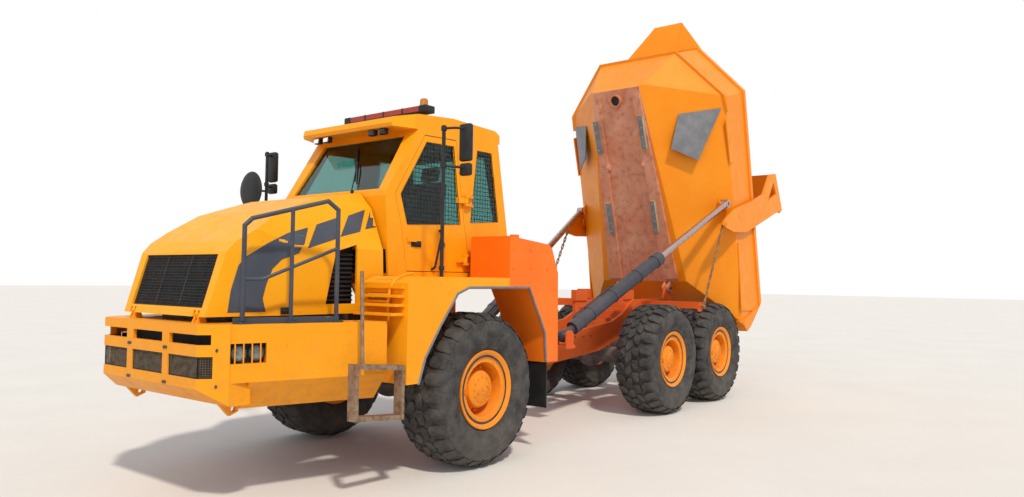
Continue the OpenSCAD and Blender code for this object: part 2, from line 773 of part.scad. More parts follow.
module rear_frame() {
    inside = frame_y - frame_t - seat_gap;
    color(deep_orange) stand() {
        both_sides() across(frame_y - frame_t, frame_y, frame_outline);
        for (x = [-2700, -3300]) block([x, -inside, 960], [x + 120, inside, 1080]);
        for (x = [-4600, -5400, -6120]) block([x, -inside, 1300], [x + 120, inside, 1420]);
        // front ring round the oscillation tube
        difference() {
            union() {
                x_bar(300, 0, hitch_z, ring_rear, ring_front);
                block([ring_rear, -inside, hitch_z - 280], [ring_rear + 80, inside, hitch_z + 280]);
            }
            x_bar(hitch_tube_r + run_fit, 0, hitch_z, ring_rear - 10, ring_front + 10);
        }
    }
}

module frame_brackets() {
    inside = frame_y - frame_t - seat_gap;
    color(deep_orange) stand() both_sides() {
        // upper rail, its post, and the blocks that the bed rests on
        block([-4700, frame_y - 90, rail_over - 100], [-3120, inside, rail_over]);
        block([-3220, frame_y - 90, 1100], [-3120, inside, rail_over - 100 - seat_gap]);
        for (x = [-4750, -3400])
            block([x, pad_y[0] - 30, rail_over + seat_gap], [x + 300, pad_y[1] - 30, rest_top]);
        hinge_bracket();
        chain_arm();
        hoist_lug();
        bogie_hanger();
    }
}

module hinge_bracket()
    difference() {
        union() {
            across(frame_y - 20, frame_y + 20, [[hinge_x - 110, rail_over + seat_gap],
                [hinge_x - 60, hinge_z + 20], [hinge_x + 60, hinge_z + 20],
                [hinge_x + 130, rail_over + seat_gap]]);
            y_bar(68, hinge_x, hinge_z, frame_y - 20, frame_y + 20);
        }
        y_bar(hinge_pin_r + run_fit, hinge_x, hinge_z, frame_y - 100, frame_y + 100);
    }

// Arm over the gap between the tyres, with the foot of the tailgate's chain
module chain_arm() {
    block([bogie_x - 60, frame_y + seat_gap, 1480], [bogie_x + 60, 1400, 1580]);
    block([bogie_x - 60, 1400, 1440], [bogie_x + 60, 1425, 1580]);
    y_bar(chain_pin_r, chain_foot[0], chain_foot[2], 1425, chain_foot[1] + 22);
}

// Plates on both sides of a hoist cylinder's ball, with a hollow seat for it
module hoist_lug() {
    foot = frame_y + seat_gap;
    difference() {
        union() {
            for (y = [hoist_base[1] - 120, hoist_base[1] + 100])
                across(y, y + 20, [[-2380, 1010], [-2210, 1010], [-2210, 1200], [-2250, 1240],
                    [-2340, 1240], [-2380, 1200]]);
            for (y = [hoist_base[1] - 110, hoist_base[1] + 60])
                y_bar(45, hoist_base[0], hoist_base[2], y, y + 50);
        }
        translate(hoist_base) sphere(r = hoist_ball_r + seat_gap);
    }
    block([-2420, foot, 1010], [-2210, hoist_base[1] + 120, 1050]);
    block([-2380, foot, 1010], [-2210, hoist_base[1] - 110, 1180]);
}

module bogie_hanger() {
    across(frame_y + seat_gap, frame_y + 40, [[bogie_x - 130, bogie_z - 110], [bogie_x + 130, bogie_z - 110],
        [bogie_x + 260, 1150], [bogie_x - 260, 1150]]);
    y_bar(bogie_pin_r, bogie_x, bogie_z, frame_y + seat_gap, bogie_y + 90);
}

module bogie_beams() {
    color(deep_orange) stand() both_sides()
        difference() {
            across(bogie_y - 60, bogie_y + 60, [[mid_x + 170, axle_z - 130], [mid_x + 170, axle_z + 130],
                [bogie_x + 200, bogie_z + 160], [bogie_x - 200, bogie_z + 160], [rear_x - 170, axle_z + 130],
                [rear_x - 170, axle_z - 130], [bogie_x, bogie_z - 180]]);
            for (x = [mid_x, rear_x]) y_bar(axle_r + seat_gap, x, axle_z, 0, 1000);
            y_bar(bogie_pin_r + seat_gap, bogie_x, bogie_z, 0, 1000);
        }
}

module rear_axles() {
    color(dark) stand() for (x = [mid_x, rear_x]) {
        y_bar(axle_r, x, axle_z, -720, 720);
        translate([x, 0, axle_z]) sphere(r = 200);
        both_sides() y_bar(spindle_r, x, axle_z, 700, half_track + 40);
    }
}

// Cylinders

module hoist_barrel()
    aim(hoist_base, hoist_eye) difference() {
        union() {
            sphere(r = hoist_ball_r);
            cylinder(r = 50, h = 260);
            translate([0, 0, 200]) cylinder(r = hoist_barrel_r, h = hoist_barrel_len - 200);
            translate([0, 0, hoist_barrel_len - 130]) cylinder(r = hoist_barrel_r + 10, h = 130);
        }
        translate([0, 0, 240]) cylinder(r = hoist_bore_r, h = hoist_barrel_len - 360);
        translate([0, 0, hoist_barrel_len - 140]) cylinder(r = hoist_rod_r + run_fit, h = 200);
    }

module hoist_rod() {
    aim(hoist_base, hoist_eye) {
        translate([0, 0, hoist_piston - 80]) cylinder(r = hoist_rod_r, h = hoist_len - hoist_piston + 50);
        translate([0, 0, hoist_piston - 80]) cylinder(r = hoist_bore_r - run_fit, h = 80);
    }
    difference() {
        y_bar(hoist_eye_r, hoist_eye[0], hoist_eye[2], hoist_eye_y - 65, hoist_eye_y + 45);
        y_bar(30, hoist_eye[0], hoist_eye[2], hoist_eye_y + 25, hoist_eye_y + 100);
    }
}

module hoist_barrel_left() color(dark) stand() hoist_barrel();
module hoist_barrel_right() color(dark) stand() side(-1) hoist_barrel();
module hoist_rod_left() color("silver") stand() hoist_rod();
module hoist_rod_right() color("silver") stand() side(-1) hoist_rod();

module steering_barrel()
    difference() {
        union() {
            translate(steer_front - [0, 0, 40]) cylinder(r = steer_eye_r, h = 80);
            aim(steer_front, steer_eye) {
                cylinder(r = 30, h = 130);
                translate([0, 0, 100]) cylinder(r = steer_barrel_r, h = steer_barrel_len - 100);
            }
        }
        aim(steer_front, steer_eye) {
            translate([0, 0, 120]) cylinder(r = steer_bore_r, h = steer_barrel_len - 155);
            translate([0, 0, steer_barrel_len - 50]) cylinder(r = steer_rod_r + run_fit, h = 100);
        }
        z_bar(steer_pin_r + run_fit, steer_front[0], steer_front[1], 0, 2000);
    }

module steering_rod() {
    aim(steer_front, steer_eye) {
        translate([0, 0, steer_piston - 60]) cylinder(r = steer_rod_r, h = steer_len - steer_piston + 30);
        translate([0, 0, steer_piston - 60]) cylinder(r = steer_bore_r - run_fit, h = 60);
    }
    difference() {
        translate(steer_eye - [0, 0, 38]) cylinder(r = steer_eye_r, h = 76);
        translate(steer_eye - [0, 0, 60]) cylinder(r = 20, h = 120);
    }
}

module steering_barrel_left() color(dark) stand() steering_barrel();
module steering_barrel_right() color(dark) stand() side(-1) steering_barrel();
module steering_rod_left() color("silver") stand() steering_rod();
module steering_rod_right() color("silver") stand() side(-1) steering_rod();

// Bed, in its own frame: X along the flat underside from the hinge, Z above it.
// Each outline below is drawn in by t, so that the hollow is the same shape again.

module bed_section(t) {
    lean = t * sqrt(1 + side_slope * side_slope);
    chine = chine_h + (lean - t) / side_slope;
    low = -600;
    high = t > 0 ? wall_h + 400 : wall_h;
    polygon([[-slope_y(low) + lean, low], [slope_y(low) - lean, low], [bed_half_w - t, chine],
        [bed_half_w - t, high], [-bed_half_w + t, high], [-bed_half_w + t, chine]]);
}

// Underside and nose seen from the side, open at the tail
module bed_profile(t) {
    shift = t * nose_lean;
    knee = knee_h + (shift - t) * knee_h / nose_run;
    polygon([[-1500, 1600 * tail_slope + t * 1.15], [100 + 0.26 * t, t],
        [floor_len - shift + t * nose_run / knee_h, t], [nose_reach - t, knee], [nose_reach - t, 2600],
        [-1500, 2600]]);
}

// Slanted corner of the nose: upright above the knee, tucked in below it
module bed_corner(t) {
    run = corner_reach - corner_foot;
    shift = t * level_t(run, knee_h);
    knee = knee_h + (shift - t) * knee_h / run;
    drop = -300;
    rotate([0, 0, corner_turn]) across(-6000, 6000, [[-6000, drop],
        [corner_foot - shift + drop * run / knee_h, drop],
        [corner_reach - t, knee], [corner_reach - t, 3000], [-6000, 3000]]);
}

module bed_block(t)
    intersection() {
        bed_end_view(t);
        bed_side_view(t);
        bed_corner(t);
        mirror([0, 1, 0]) bed_corner(t);
    }

// Bed plates from outer to inner depth, as flat plates a seat gap apart: across the
// underside and the nose, then the nose's corners, then the slopes and walls
module bed_plates(outer, inner) {
    cut = seat_gap / 2;
    difference() {
        bed_block(outer);
        bed_side_view(inner);
        // creases of the tail, the nose's foot and its knee
        block([102 - cut, -2000, -300], [102 + cut, 2000, 300]);
        block([floor_len - 10 - cut, -2000, -300], [floor_len - 10 + cut, 2000, 300]);
        block([2000, -2000, knee_h - cut], [5000, 2000, knee_h + cut]);
    }
    difference() {
        intersection() {
            bed_block(outer);
            bed_side_view(inner + seat_gap);
        }
        intersection() {
            bed_corner(inner);
            mirror([0, 1, 0]) bed_corner(inner);
        }
        block([2000, -2000, knee_h - cut], [5000, 2000, knee_h + cut]);
    }
    difference() {
        intersection() {
            bed_block(outer);
            bed_side_view(inner + seat_gap);
            bed_corner(inner + seat_gap);
            mirror([0, 1, 0]) bed_corner(inner + seat_gap);
        }
        bed_end_view(inner);
        rotate([0, -wall_tilt, 0]) block([-3000, -2000, chine_h - cut], [6000, 2000, chine_h + cut]);
    }
}

module bed_end_view(t)
    rotate([0, -wall_tilt, 0])
        translate([-3000, 0, 0]) rotate([90, 0, 90]) linear_extrude(8000) bed_section(t);

module bed_side_view(t)
    translate([0, 2000, 0]) rotate([90, 0, 0]) linear_extrude(4000) bed_profile(t);

// Slanted end of the tail
module tail_cut()
    intersection() {
        across(-1700, 1700, [[-tail_len + 40, -200], [-tail_len + 40, 640], [-tail_len + 70, 800],
            [-tail_len + 310, 1440], [-tail_len + 310, 3000], [5000, 3000], [5000, -200]]);
        children();
    }

module bed() {
    color(orange) stand() bed_frame() tail_cut() bed_plates(0, plate);
}

module bed_fittings() {
    color(orange) stand() bed_frame() {
        tail_cut() {
            // bolster round the tail, rim along the walls, and the flange at the nose's knee
            bed_band(35) block([-1400, -1600, 0], [-tail_len + 260, 1600, 1250]);
            bed_band(28) rotate([0, -wall_tilt, 0]) block([-2000, -1600, wall_h - 90], [5000, 1600, wall_h]);
            bed_band(40) block([2700, -1600, knee_h - 14], [4000, 1600, knee_h + 14]);
        }
        difference() {
            both_sides() {
                hinge_ears();
                // pin for the tailgate's arm, on its boss
                y_bar(gate_pin_r, gate_pivot_u, gate_pivot_w, bed_half_w - 5, arm_y + gate_arm_t + 8);
                y_bar(gate_pin_r + 30, gate_pivot_u, gate_pivot_w, bed_half_w - 5, arm_y - 8);
                hoist_ear();
            }
            bed_block(-seat_gap);
        }
        both_sides() {
            // longeron under the floor
            upward(-longeron_t, -seat_gap, [[150, 400], [150, 650], [3250, 430], [3250, 300]]);
            // ribs over the chine, in front of and behind the tailgate's pivot
            wall = bed_half_w + seat_gap;
            across(wall, wall + 20, [[2570, 800], [2580, 930], [1880, 935], [1880, 765]]);
            across(wall, wall + 20, [[550, 700], [170, 1120], [-730, 975], [-560, 490]]);
        }
        // inlet of the exhaust heating
        difference() {
            z_bar(95, 3180, 0, -70, -seat_gap);
            z_bar(80, 3180, 0, -100, 10);
        }
    }
}

// Band round the outside of the bed, t proud of its plates
module bed_band(t)
    intersection() {
        bed_plates(-t, -seat_gap);
        children();
    }

// Ear inboard of the hoist rod's eye, with a boss that faces it
module hoist_ear() {
    eye = hoist_eye_bed;
    across(hoist_eye_y - 110, hoist_eye_y - 90, [[eye[0] - 130, eye[1] + 70], [eye[0] - 45, eye[1] - 50],
        [eye[0] + 45, eye[1] - 50], [eye[0] + 130, eye[1] + 70]]);
    y_bar(45, eye[0], eye[1], hoist_eye_y - 100, hoist_eye_y - 70);
}

module hinge_ears()
    for (y = [frame_y - 57, frame_y + 25])
        difference() {
            union() {
                across(y, y + 32, [[-110, 3], [110, 3], [55, -floor_over_hinge], [-55, -floor_over_hinge]]);
                y_bar(56, 0, -floor_over_hinge, y, y + 32);
                y_bar(hinge_pin_r, 0, -floor_over_hinge, frame_y - 57, frame_y + 57);
            }
        }

module spill_guard() {
    base = (wall_h + sin(wall_tilt) * nose_reach) / cos(wall_tilt);
    color(orange) stand() bed_frame() {
        across(-280, 280, [[nose_reach - 14, base + seat_gap], [nose_reach, base + seat_gap],
            [nose_reach + 515, base + 410], [nose_reach + 505, base + 422]]);
        both_sides() guard_wing([nose_reach - 14, 280, base + seat_gap], [nose_reach + 505, 280, base + 415],
            [nose_reach - 14, 760, base + seat_gap]);
    }
}

// Triangular plate between three corners
module guard_wing(a, b, c) {
    n = cross(b - a, c - a) / norm(cross(b - a, c - a)) * 14;
    polyhedron([a, b, c, a + n, b + n, c + n],
        [[0, 1, 2], [5, 4, 3], [1, 0, 3, 4], [2, 1, 4, 5], [0, 2, 5, 3]]);
}

// Thin sheet over four corners
module sheet(c, t) {
    n = cross(c[2] - c[0], c[3] - c[1]) / norm(cross(c[2] - c[0], c[3] - c[1])) * t;
    polyhedron([each c, for (p = c) p + n],
        [[0, 1, 2], [0, 2, 3], [6, 5, 4], [7, 6, 4], [1, 0, 4, 5], [2, 1, 5, 6], [3, 2, 6, 7], [0, 3, 7, 4]]);
}

module bed_pads() {
    color(black) stand() bed_frame() both_sides()
        for (u = [960, 2360]) block([u, pad_y[0], -pad_t], [u + 540, pad_y[1], -longeron_t - seat_gap]);
}

// Rubber flaps that hang from the lower edge of the nose's corners
module bed_mudflaps() {
    // along the bed, sideways, and how far below the lower wall
    corners = [[2300, 801, 175], [2035, 1117, 175], [2775, 1395, 1], [2805, 870, 1]];
    color(black) stand() bed_frame() both_sides()
        sheet([for (c = corners) [c[0], c[1], slope_w(c[0], c[1]) - c[2]]], 14);
}

module tailgate() {
    color(orange) stand() gate_frame() {
        both_sides() difference() {
            across(arm_y, arm_y + gate_arm_t, arm_outline);
            across(arm_y - 10, arm_y + gate_arm_t + 10, arm_window);
            y_bar(gate_pin_r + run_fit, 0, 0, 1000, 2000);
            y_bar(22, chain_lug_arm[0], chain_lug_arm[1], 1000, 2000);
        }
        across(-arm_y - 20, arm_y + 20, [[gate_reach - 240, -610], [gate_reach - 205, -610],
            [gate_reach + 12, 50], [gate_reach - 23, 50]]);
    }
}

// Taut chains from the arms over the bogie up to the gate's arms
module tailgate_chains() {
    from = chain_foot;
    to = [chain_top[0], chain_foot[1], chain_top[1]];
    color("gray") stand() both_sides() {
        difference() {
            y_bar(40, from[0], from[2], from[1] - 14, from[1] + 14);
            y_bar(chain_pin_r + run_fit, from[0], from[2], 1000, 2000);
        }
        tube(from + (to - from) * 0.026, from + (to - from) * 0.985, chain_r);
    }
}

front_frame();
engine_block();
radiator();
front_bumper();
front_apron();
bonnet();
bonnet_grille();
front_fenders();
side_tanks();
cab_shell();
cab_roof();
cab_glass();
dashboard();
steering_wheel();
driver_seat();
cab_door();
door_glass();
light_bar();
mirrors();
walkway_rail();
ladder();
headlights();
work_lamps();
front_axle();
front_mudflaps();
rim_front_left();
tyre_front_left();
rim_front_right();
tyre_front_right();
rim_mid_left();
tyre_mid_left();
rim_mid_right();
tyre_mid_right();
rim_rear_left();
tyre_rear_left();
rim_rear_right();
tyre_rear_right();
hitch();
rear_frame();
frame_brackets();
bogie_beams();
rear_axles();
hoist_barrel_left();
hoist_rod_left();
hoist_barrel_right();
hoist_rod_right();
steering_barrel_left();
steering_rod_left();
steering_barrel_right();
steering_rod_right();
bed();
bed_fittings();
spill_guard();
bed_pads();
bed_mudflaps();
tailgate();
tailgate_chains();
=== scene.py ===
import math

import bmesh
import bpy
from mathutils import Matrix, Vector
from mathutils.bvhtree import BVHTree


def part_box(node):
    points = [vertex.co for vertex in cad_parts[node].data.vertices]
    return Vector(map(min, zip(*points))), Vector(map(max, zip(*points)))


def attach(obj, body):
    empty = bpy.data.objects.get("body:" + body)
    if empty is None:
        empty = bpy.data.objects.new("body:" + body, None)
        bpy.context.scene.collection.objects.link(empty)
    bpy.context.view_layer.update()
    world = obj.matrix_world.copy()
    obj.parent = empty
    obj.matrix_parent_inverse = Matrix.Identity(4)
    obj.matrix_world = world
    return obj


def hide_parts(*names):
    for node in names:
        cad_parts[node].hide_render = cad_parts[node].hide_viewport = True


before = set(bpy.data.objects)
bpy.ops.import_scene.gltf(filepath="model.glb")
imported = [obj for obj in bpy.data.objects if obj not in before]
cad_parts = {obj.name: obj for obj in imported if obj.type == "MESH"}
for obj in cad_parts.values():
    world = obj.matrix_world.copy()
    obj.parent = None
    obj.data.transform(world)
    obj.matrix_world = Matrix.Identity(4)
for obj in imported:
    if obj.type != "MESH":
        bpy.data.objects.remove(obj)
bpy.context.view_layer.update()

# Places are metres from the front axle, as on the truck's own drawing: X forward, Y left, Z up.
# SHIFT is what carries them into the frame.
SHIFT = 2.784865
AXLES = {"front": 0.0, "mid": -4.175, "rear": -5.855}
AXLE_Z = 0.778
HALF_TRACK = 1.14
# Where the body turns, and how many degrees it is raised
HINGE = (-5.824, 0, 1.775)
RAISED = -72
# The eye of the photograph's camera, in the frame
EYE = Vector((8.8109, 6.384, 1.886))
TO_FRAME = Matrix.Translation((SHIFT, 0, 0))
MIRROR = Matrix.Diagonal((1, -1, 1, 1))
SIDES = {"left": 1, "right": -1}


def rotated(degrees, axis):
    """A matrix that turns about one of the axes."""
    return Matrix.Rotation(math.radians(degrees), 4, axis)


# The raised bed's own frame: X along its underside from the hinge, Z above it
BED = Matrix.Translation(HINGE) @ rotated(RAISED, "Y") @ Matrix.Translation((0, 0, 0.08))


# Finishes


def linear(colour):
    """An sRGB hex colour as the linear one that a shader takes."""
    parts = [int(colour[i : i + 2], 16) / 255 for i in (1, 3, 5)]
    return [c / 12.92 if c <= 0.04045 else ((c + 0.055) / 1.055) ** 2.4 for c in parts] + [1.0]


def add(tree, kind, inputs=None, **settings):
    """One node with its settings and inputs, where an input is a value or another node's output."""
    node = tree.nodes.new(kind)
    for key, value in settings.items():
        setattr(node, key, value)
    for key, value in (inputs or {}).items():
        if isinstance(value, bpy.types.NodeSocket):
            tree.links.new(value, node.inputs[key])
        else:
            node.inputs[key].default_value = value
    return node


def blank(name):
    """An empty node material with its output, and where its pieces are in the frame."""
    material = bpy.data.materials.new(name)
    material.use_nodes = True
    tree = material.node_tree
    tree.nodes.clear()
    output = add(tree, "ShaderNodeOutputMaterial")
    place = add(tree, "ShaderNodeTexCoord")
    return material, tree, output, place


def axes_of(tree, vector):
    """The X, Y and Z of a place or a direction."""
    return add(tree, "ShaderNodeSeparateXYZ", {"Vector": vector}).outputs


def ranged(tree, value, low=0.0, high=1.0, to_low=0.0, to_high=1.0):
    """A value carried from one range to another, and held inside it."""
    ends = {"From Min": low, "From Max": high, "To Min": to_low, "To Max": to_high}
    return add(tree, "ShaderNodeMapRange", {"Value": value, **ends}).outputs["Result"]


def speckle(tree, where, scale, low, high, detail=4.0):
    """Noise of a size in metres, pulled apart to run from 0 to 1 between low and high."""
    noise = add(tree, "ShaderNodeTexNoise", {
        "Vector": where, "Scale": 1 / scale, "Detail": detail, "Roughness": 0.62})
    return ranged(tree, noise.outputs["Fac"], low, high)


def fine_noise(tree, where, scale, detail):
    """Noise too small to see as patches, for relief."""
    return add(tree, "ShaderNodeTexNoise", {"Vector": where, "Scale": scale, "Detail": detail}).outputs["Fac"]


def reckoned(tree, operation, *values):
    """What one of Blender's operations on numbers gives."""
    return add(tree, "ShaderNodeMath", dict(enumerate(values)), operation=operation).outputs[0]


def times(tree, a, b):
    """A product, held between 0 and 1."""
    return add(tree, "ShaderNodeMath", {0: a, 1: b}, operation="MULTIPLY", use_clamp=True).outputs[0]


def blended(tree, amount, below, above):
    """A colour that goes from below to above as the amount rises."""
    mix = add(tree, "ShaderNodeMix", {"Factor": amount, "A": below, "B": above}, data_type="RGBA")
    return mix.outputs["Result"]


def upward(tree, place, start=0.35, full=0.95):
    """1 on faces that look up, where dust settles."""
    return ranged(tree, axes_of(tree, place.outputs["Normal"])["Z"], start, full)


def near_ground(tree, place, top=1.5, bottom=0.4):
    """1 low on the truck, where the wheels throw dirt."""
    return ranged(tree, axes_of(tree, place.outputs["Object"])["Z"], top, bottom)


def shaded(tree, output, inputs, relief=None, strength=0.0, depth=0.001):
    """Links the one shader of a finish, with fine relief where it has some."""
    if relief is not None:
        bump = add(tree, "ShaderNodeBump", {"Height": relief, "Strength": strength, "Distance": depth})
        inputs["Normal"] = bump.outputs[0]
    shader = add(tree, "ShaderNodeBsdfPrincipled", inputs)
    tree.links.new(shader.outputs[0], output.inputs[0])


# Planes round the inside of the cab's left half: which way each looks, and how far out it lies
CAB_PLANES = (
    ((0, 1, 0), 0.772), ((1, 0, 0), 3.605), ((1, 0, 0.636), 5.326),
    ((-1, 0, 0.189), -1.3), ((0, 0, -1), -1.93), ((0, 0, 1), 3.41),
)


def cab_inside_shade(tree, where):
    """1 inside these planes on both sides, where the walls are painted near black as painted shade for the
    dark inside of the cab. Some of the outer wall under the rear window falls inside them too, and shows as a
    black box."""
    axes = axes_of(tree, where)
    folded = add(tree, "ShaderNodeCombineXYZ", {
        "X": axes["X"], "Y": reckoned(tree, "ABSOLUTE", axes["Y"]), "Z": axes["Z"]})
    mask = 1.0
    for normal, far in CAB_PLANES:
        along = add(tree, "ShaderNodeVectorMath", {0: folded.outputs[0], 1: normal}, operation="DOT_PRODUCT")
        mask = times(tree, mask, reckoned(tree, "LESS_THAN", along.outputs["Value"], far))
    return mask


def enamel(name, colour, faded, dust="#a98f6d", dusty=0.35, rough=0.36, chips=0.3, paint_cab_shade=False):
    """Sprayed machine enamel: a smooth gloss that has chalked in patches, with dust on
    its upper faces, splashes low down, fine scratches and a few chips to the primer."""
    material, tree, output, place = blank(name)
    where = place.outputs["Object"]
    chalk = speckle(tree, where, 0.55, 0.42, 0.7)
    paint = blended(tree, times(tree, chalk, 0.8), linear(colour), linear(faded))
    settled = times(tree, upward(tree, place), speckle(tree, where, 0.16, 0.3, 0.75))
    splashed = times(tree, near_ground(tree, place), speckle(tree, where, 0.09, 0.45, 0.7))
    paint = blended(tree, times(tree, settled, dusty), paint, linear(dust))
    paint = blended(tree, times(tree, splashed, dusty * 1.5), paint, linear("#8d7152"))
    # chips of 5 to 15 mm, and scratches drawn out along the truck
    chip = times(tree, speckle(tree, where, 0.022, 0.66, 0.69), chips)
    drawn = add(tree, "ShaderNodeMapping", {"Vector": where, "Scale": (1.0, 6.0, 14.0)}, vector_type="POINT")
    scratch = times(tree, speckle(tree, drawn.outputs[0], 0.3, 0.67, 0.7, 6.0), chips * 0.7)
    paint = blended(tree, chip, paint, linear("#7a4a2c"))
    paint = blended(tree, scratch, paint, linear("#c9a878"))
    # painted shade: the inside of the cab is painted near black
    if paint_cab_shade:
        paint = blended(tree, cab_inside_shade(tree, where), paint, linear("#1d1e20"))
    gloss = ranged(tree, speckle(tree, where, 0.12, 0.3, 0.7), to_low=rough, to_high=rough + 0.22)
    relief = fine_noise(tree, where, 260.0, 2.0)
    shaded(tree, output, {"Base Color": paint, "Roughness": gloss, "Specular IOR Level": 0.3}, relief, 0.06)
    return material


def bed_enamel(name, colour, faded):
    """The body's enamel, which is worn to a brown primer with rust over the flat of its
    underside, where the frame and the exhaust's heat have rubbed and baked it."""
    material = enamel(name, colour, faded, dusty=0.2, chips=0.45)
    tree = material.node_tree
    shader = next(n for n in tree.nodes if n.type == "BSDF_PRINCIPLED")
    place = next(n for n in tree.nodes if n.type == "TEX_COORD")
    paint = shader.inputs["Base Color"].links[0].from_socket
    to_bed = (TO_FRAME @ BED).inverted()
    along_bed = add(tree, "ShaderNodeMapping", {
        "Vector": place.outputs["Object"], "Location": to_bed.to_translation(), "Rotation": to_bed.to_euler(),
    }, vector_type="POINT").outputs[0]
    axes = axes_of(tree, along_bed)
    # the flat narrows towards the nose
    edge = ranged(tree, axes["X"], 0.0, 3.35, 0.66, 0.455)
    inside = reckoned(tree, "LESS_THAN", reckoned(tree, "ABSOLUTE", axes["Y"]), edge)
    below = reckoned(tree, "LESS_THAN", axes["Z"], 0.003)
    past_tail = reckoned(tree, "GREATER_THAN", axes["X"], -0.12)
    before_nose = reckoned(tree, "LESS_THAN", axes["X"], 3.36)
    bare = times(tree, times(tree, inside, below), times(tree, past_tail, before_nose))
    primer = blended(tree, speckle(tree, along_bed, 0.5, 0.35, 0.65), linear("#c97f60"), linear("#d79a7c"))
    for size, low, high, share, colour in (
        (0.11, 0.5, 0.72, 0.75, "#a3603f"),
        (0.2, 0.6, 0.68, 0.6, "#e08a3a"),
    ):
        patch = times(tree, speckle(tree, along_bed, size, low, high), share)
        primer = blended(tree, patch, primer, linear(colour))
    tree.links.new(blended(tree, bare, paint, primer), shader.inputs["Base Color"])
    return material


def rubber(name, colour, dust, dusty=0.5, rough=0.8, grain=0.004):
    """Moulded rubber or plastic that has greyed: matt, finely grained, with pale dust in its grain."""
    material, tree, output, place = blank(name)
    where = place.outputs["Object"]
    paint = linear(colour)
    for size, low, high, share in ((0.14, 0.35, 0.7, dusty), (0.02, 0.5, 0.75, dusty * 0.7)):
        patch = times(tree, speckle(tree, where, size, low, high), share)
        paint = blended(tree, patch, paint, linear(dust))
    paint = blended(tree, times(tree, near_ground(tree, place, 0.5, 0.0), 0.45), paint, linear("#6f6a62"))
    relief = fine_noise(tree, where, 1 / grain, 3.0)
    inputs = {"Base Color": paint, "Roughness": rough, "Specular IOR Level": 0.3}
    shaded(tree, output, inputs, relief, 0.25, 0.0015)
    return material


def metal(name, colour, stain, rough=0.35, metallic=1.0, stained=0.4):
    """Bare or plated steel: bright where it slides, dulled by brown stains in patches."""
    material, tree, output, place = blank(name)
    where = place.outputs["Object"]
    patch = speckle(tree, where, 0.06, 0.4, 0.68)
    paint = blended(tree, times(tree, patch, stained), linear(colour), linear(stain))
    gloss = ranged(tree, patch, to_low=rough, to_high=min(rough + 0.3, 0.9))
    relief = fine_noise(tree, where, 320.0, 3.0)
    shaded(tree, output, {"Base Color": paint, "Roughness": gloss, "Metallic": metallic}, relief, 0.12)
    return material


def lens(name, colour, rough, through=1.0):
    """Clear or tinted glass or polycarbonate, with a thin film of dust."""
    material, tree, output, place = blank(name)
    film = speckle(tree, place.outputs["Object"], 0.2, 0.35, 0.8)
    gloss = ranged(tree, film, to_low=rough, to_high=rough + 0.1)
    shaded(tree, output, {
        "Base Color": linear(colour), "Roughness": gloss, "Transmission Weight": through, "IOR": 1.45})
    return material


def cloth(name, colour, light):
    """Woven polyester seat cloth: matt, with a 3 mm weave, drawn coarser than the real 1 mm."""
    material, tree, output, place = blank(name)
    where = place.outputs["Object"]
    weave = add(tree, "ShaderNodeTexWave", {"Vector": where, "Scale": 110.0, "Distortion": 1.0})
    paint = blended(tree, times(tree, weave.outputs["Fac"], 0.6), linear(colour), linear(light))
    inputs = {"Base Color": paint, "Roughness": 0.9, "Sheen Weight": 0.3}
    shaded(tree, output, inputs, weave.outputs["Fac"], 0.3)
    return material


# the cab's enamel, with painted shade: near black inside the cab
CAB_PAINT = enamel("yellow_orange_enamel", "#f69f06", "#f7a914", dusty=0.2, paint_cab_shade=True)
BONNET_PAINT = enamel("bonnet_enamel", "#f6a808", "#f8b01a", dusty=0.16)
APRON_PAINT = enamel("apron_enamel", "#f29a06", "#f0a01a", dusty=0.28, chips=0.5)
TANK_PAINT = enamel("red_orange_enamel", "#f8720a", "#f87c18", dusty=0.15)
CHASSIS_PAINT = enamel("chassis_enamel", "#dc5a1c", "#e66c2c", dusty=0.5, rough=0.5, chips=0.6)
RIM_PAINT = enamel("rim_enamel", "#f08c10", "#f29824", dusty=0.25, chips=0.5)
BED_PAINT = bed_enamel("body_enamel", "#f08c08", "#f19516")
DARK_PAINT = enamel("slate_enamel", "#3b404c", "#4a505c", dust="#8d8a84", dusty=0.35, chips=0.5)
GREY_PAINT = enamel("grey_enamel", "#4d4c52", "#65605e", dust="#8b8178", dusty=0.5, rough=0.45, chips=0.6)
TYRE = rubber("tyre_rubber", "#2c2c2e", "#66625e", dusty=0.6)
SHEET_RUBBER = rubber("rubber_sheet", "#6c6d71", "#8f9094", dusty=0.5, rough=0.5)
SEAL = rubber("seal_rubber", "#161617", "#3a3a3a", dusty=0.3)
PLASTIC = rubber("moulded_polypropylene", "#1c1d1f", "#3d3c3b", dusty=0.35, rough=0.55, grain=0.002)
PLATED = metal("plated_steel", "#b9a6a2", "#7d625c", rough=0.22)
WORN = metal("worn_steel", "#9a8672", "#7a5238", rough=0.5, metallic=0.7, stained=0.8)
CHAIN_STEEL = metal("painted_chain", "#9a7048", "#6a4630", rough=0.6, metallic=0.2, stained=0.7)
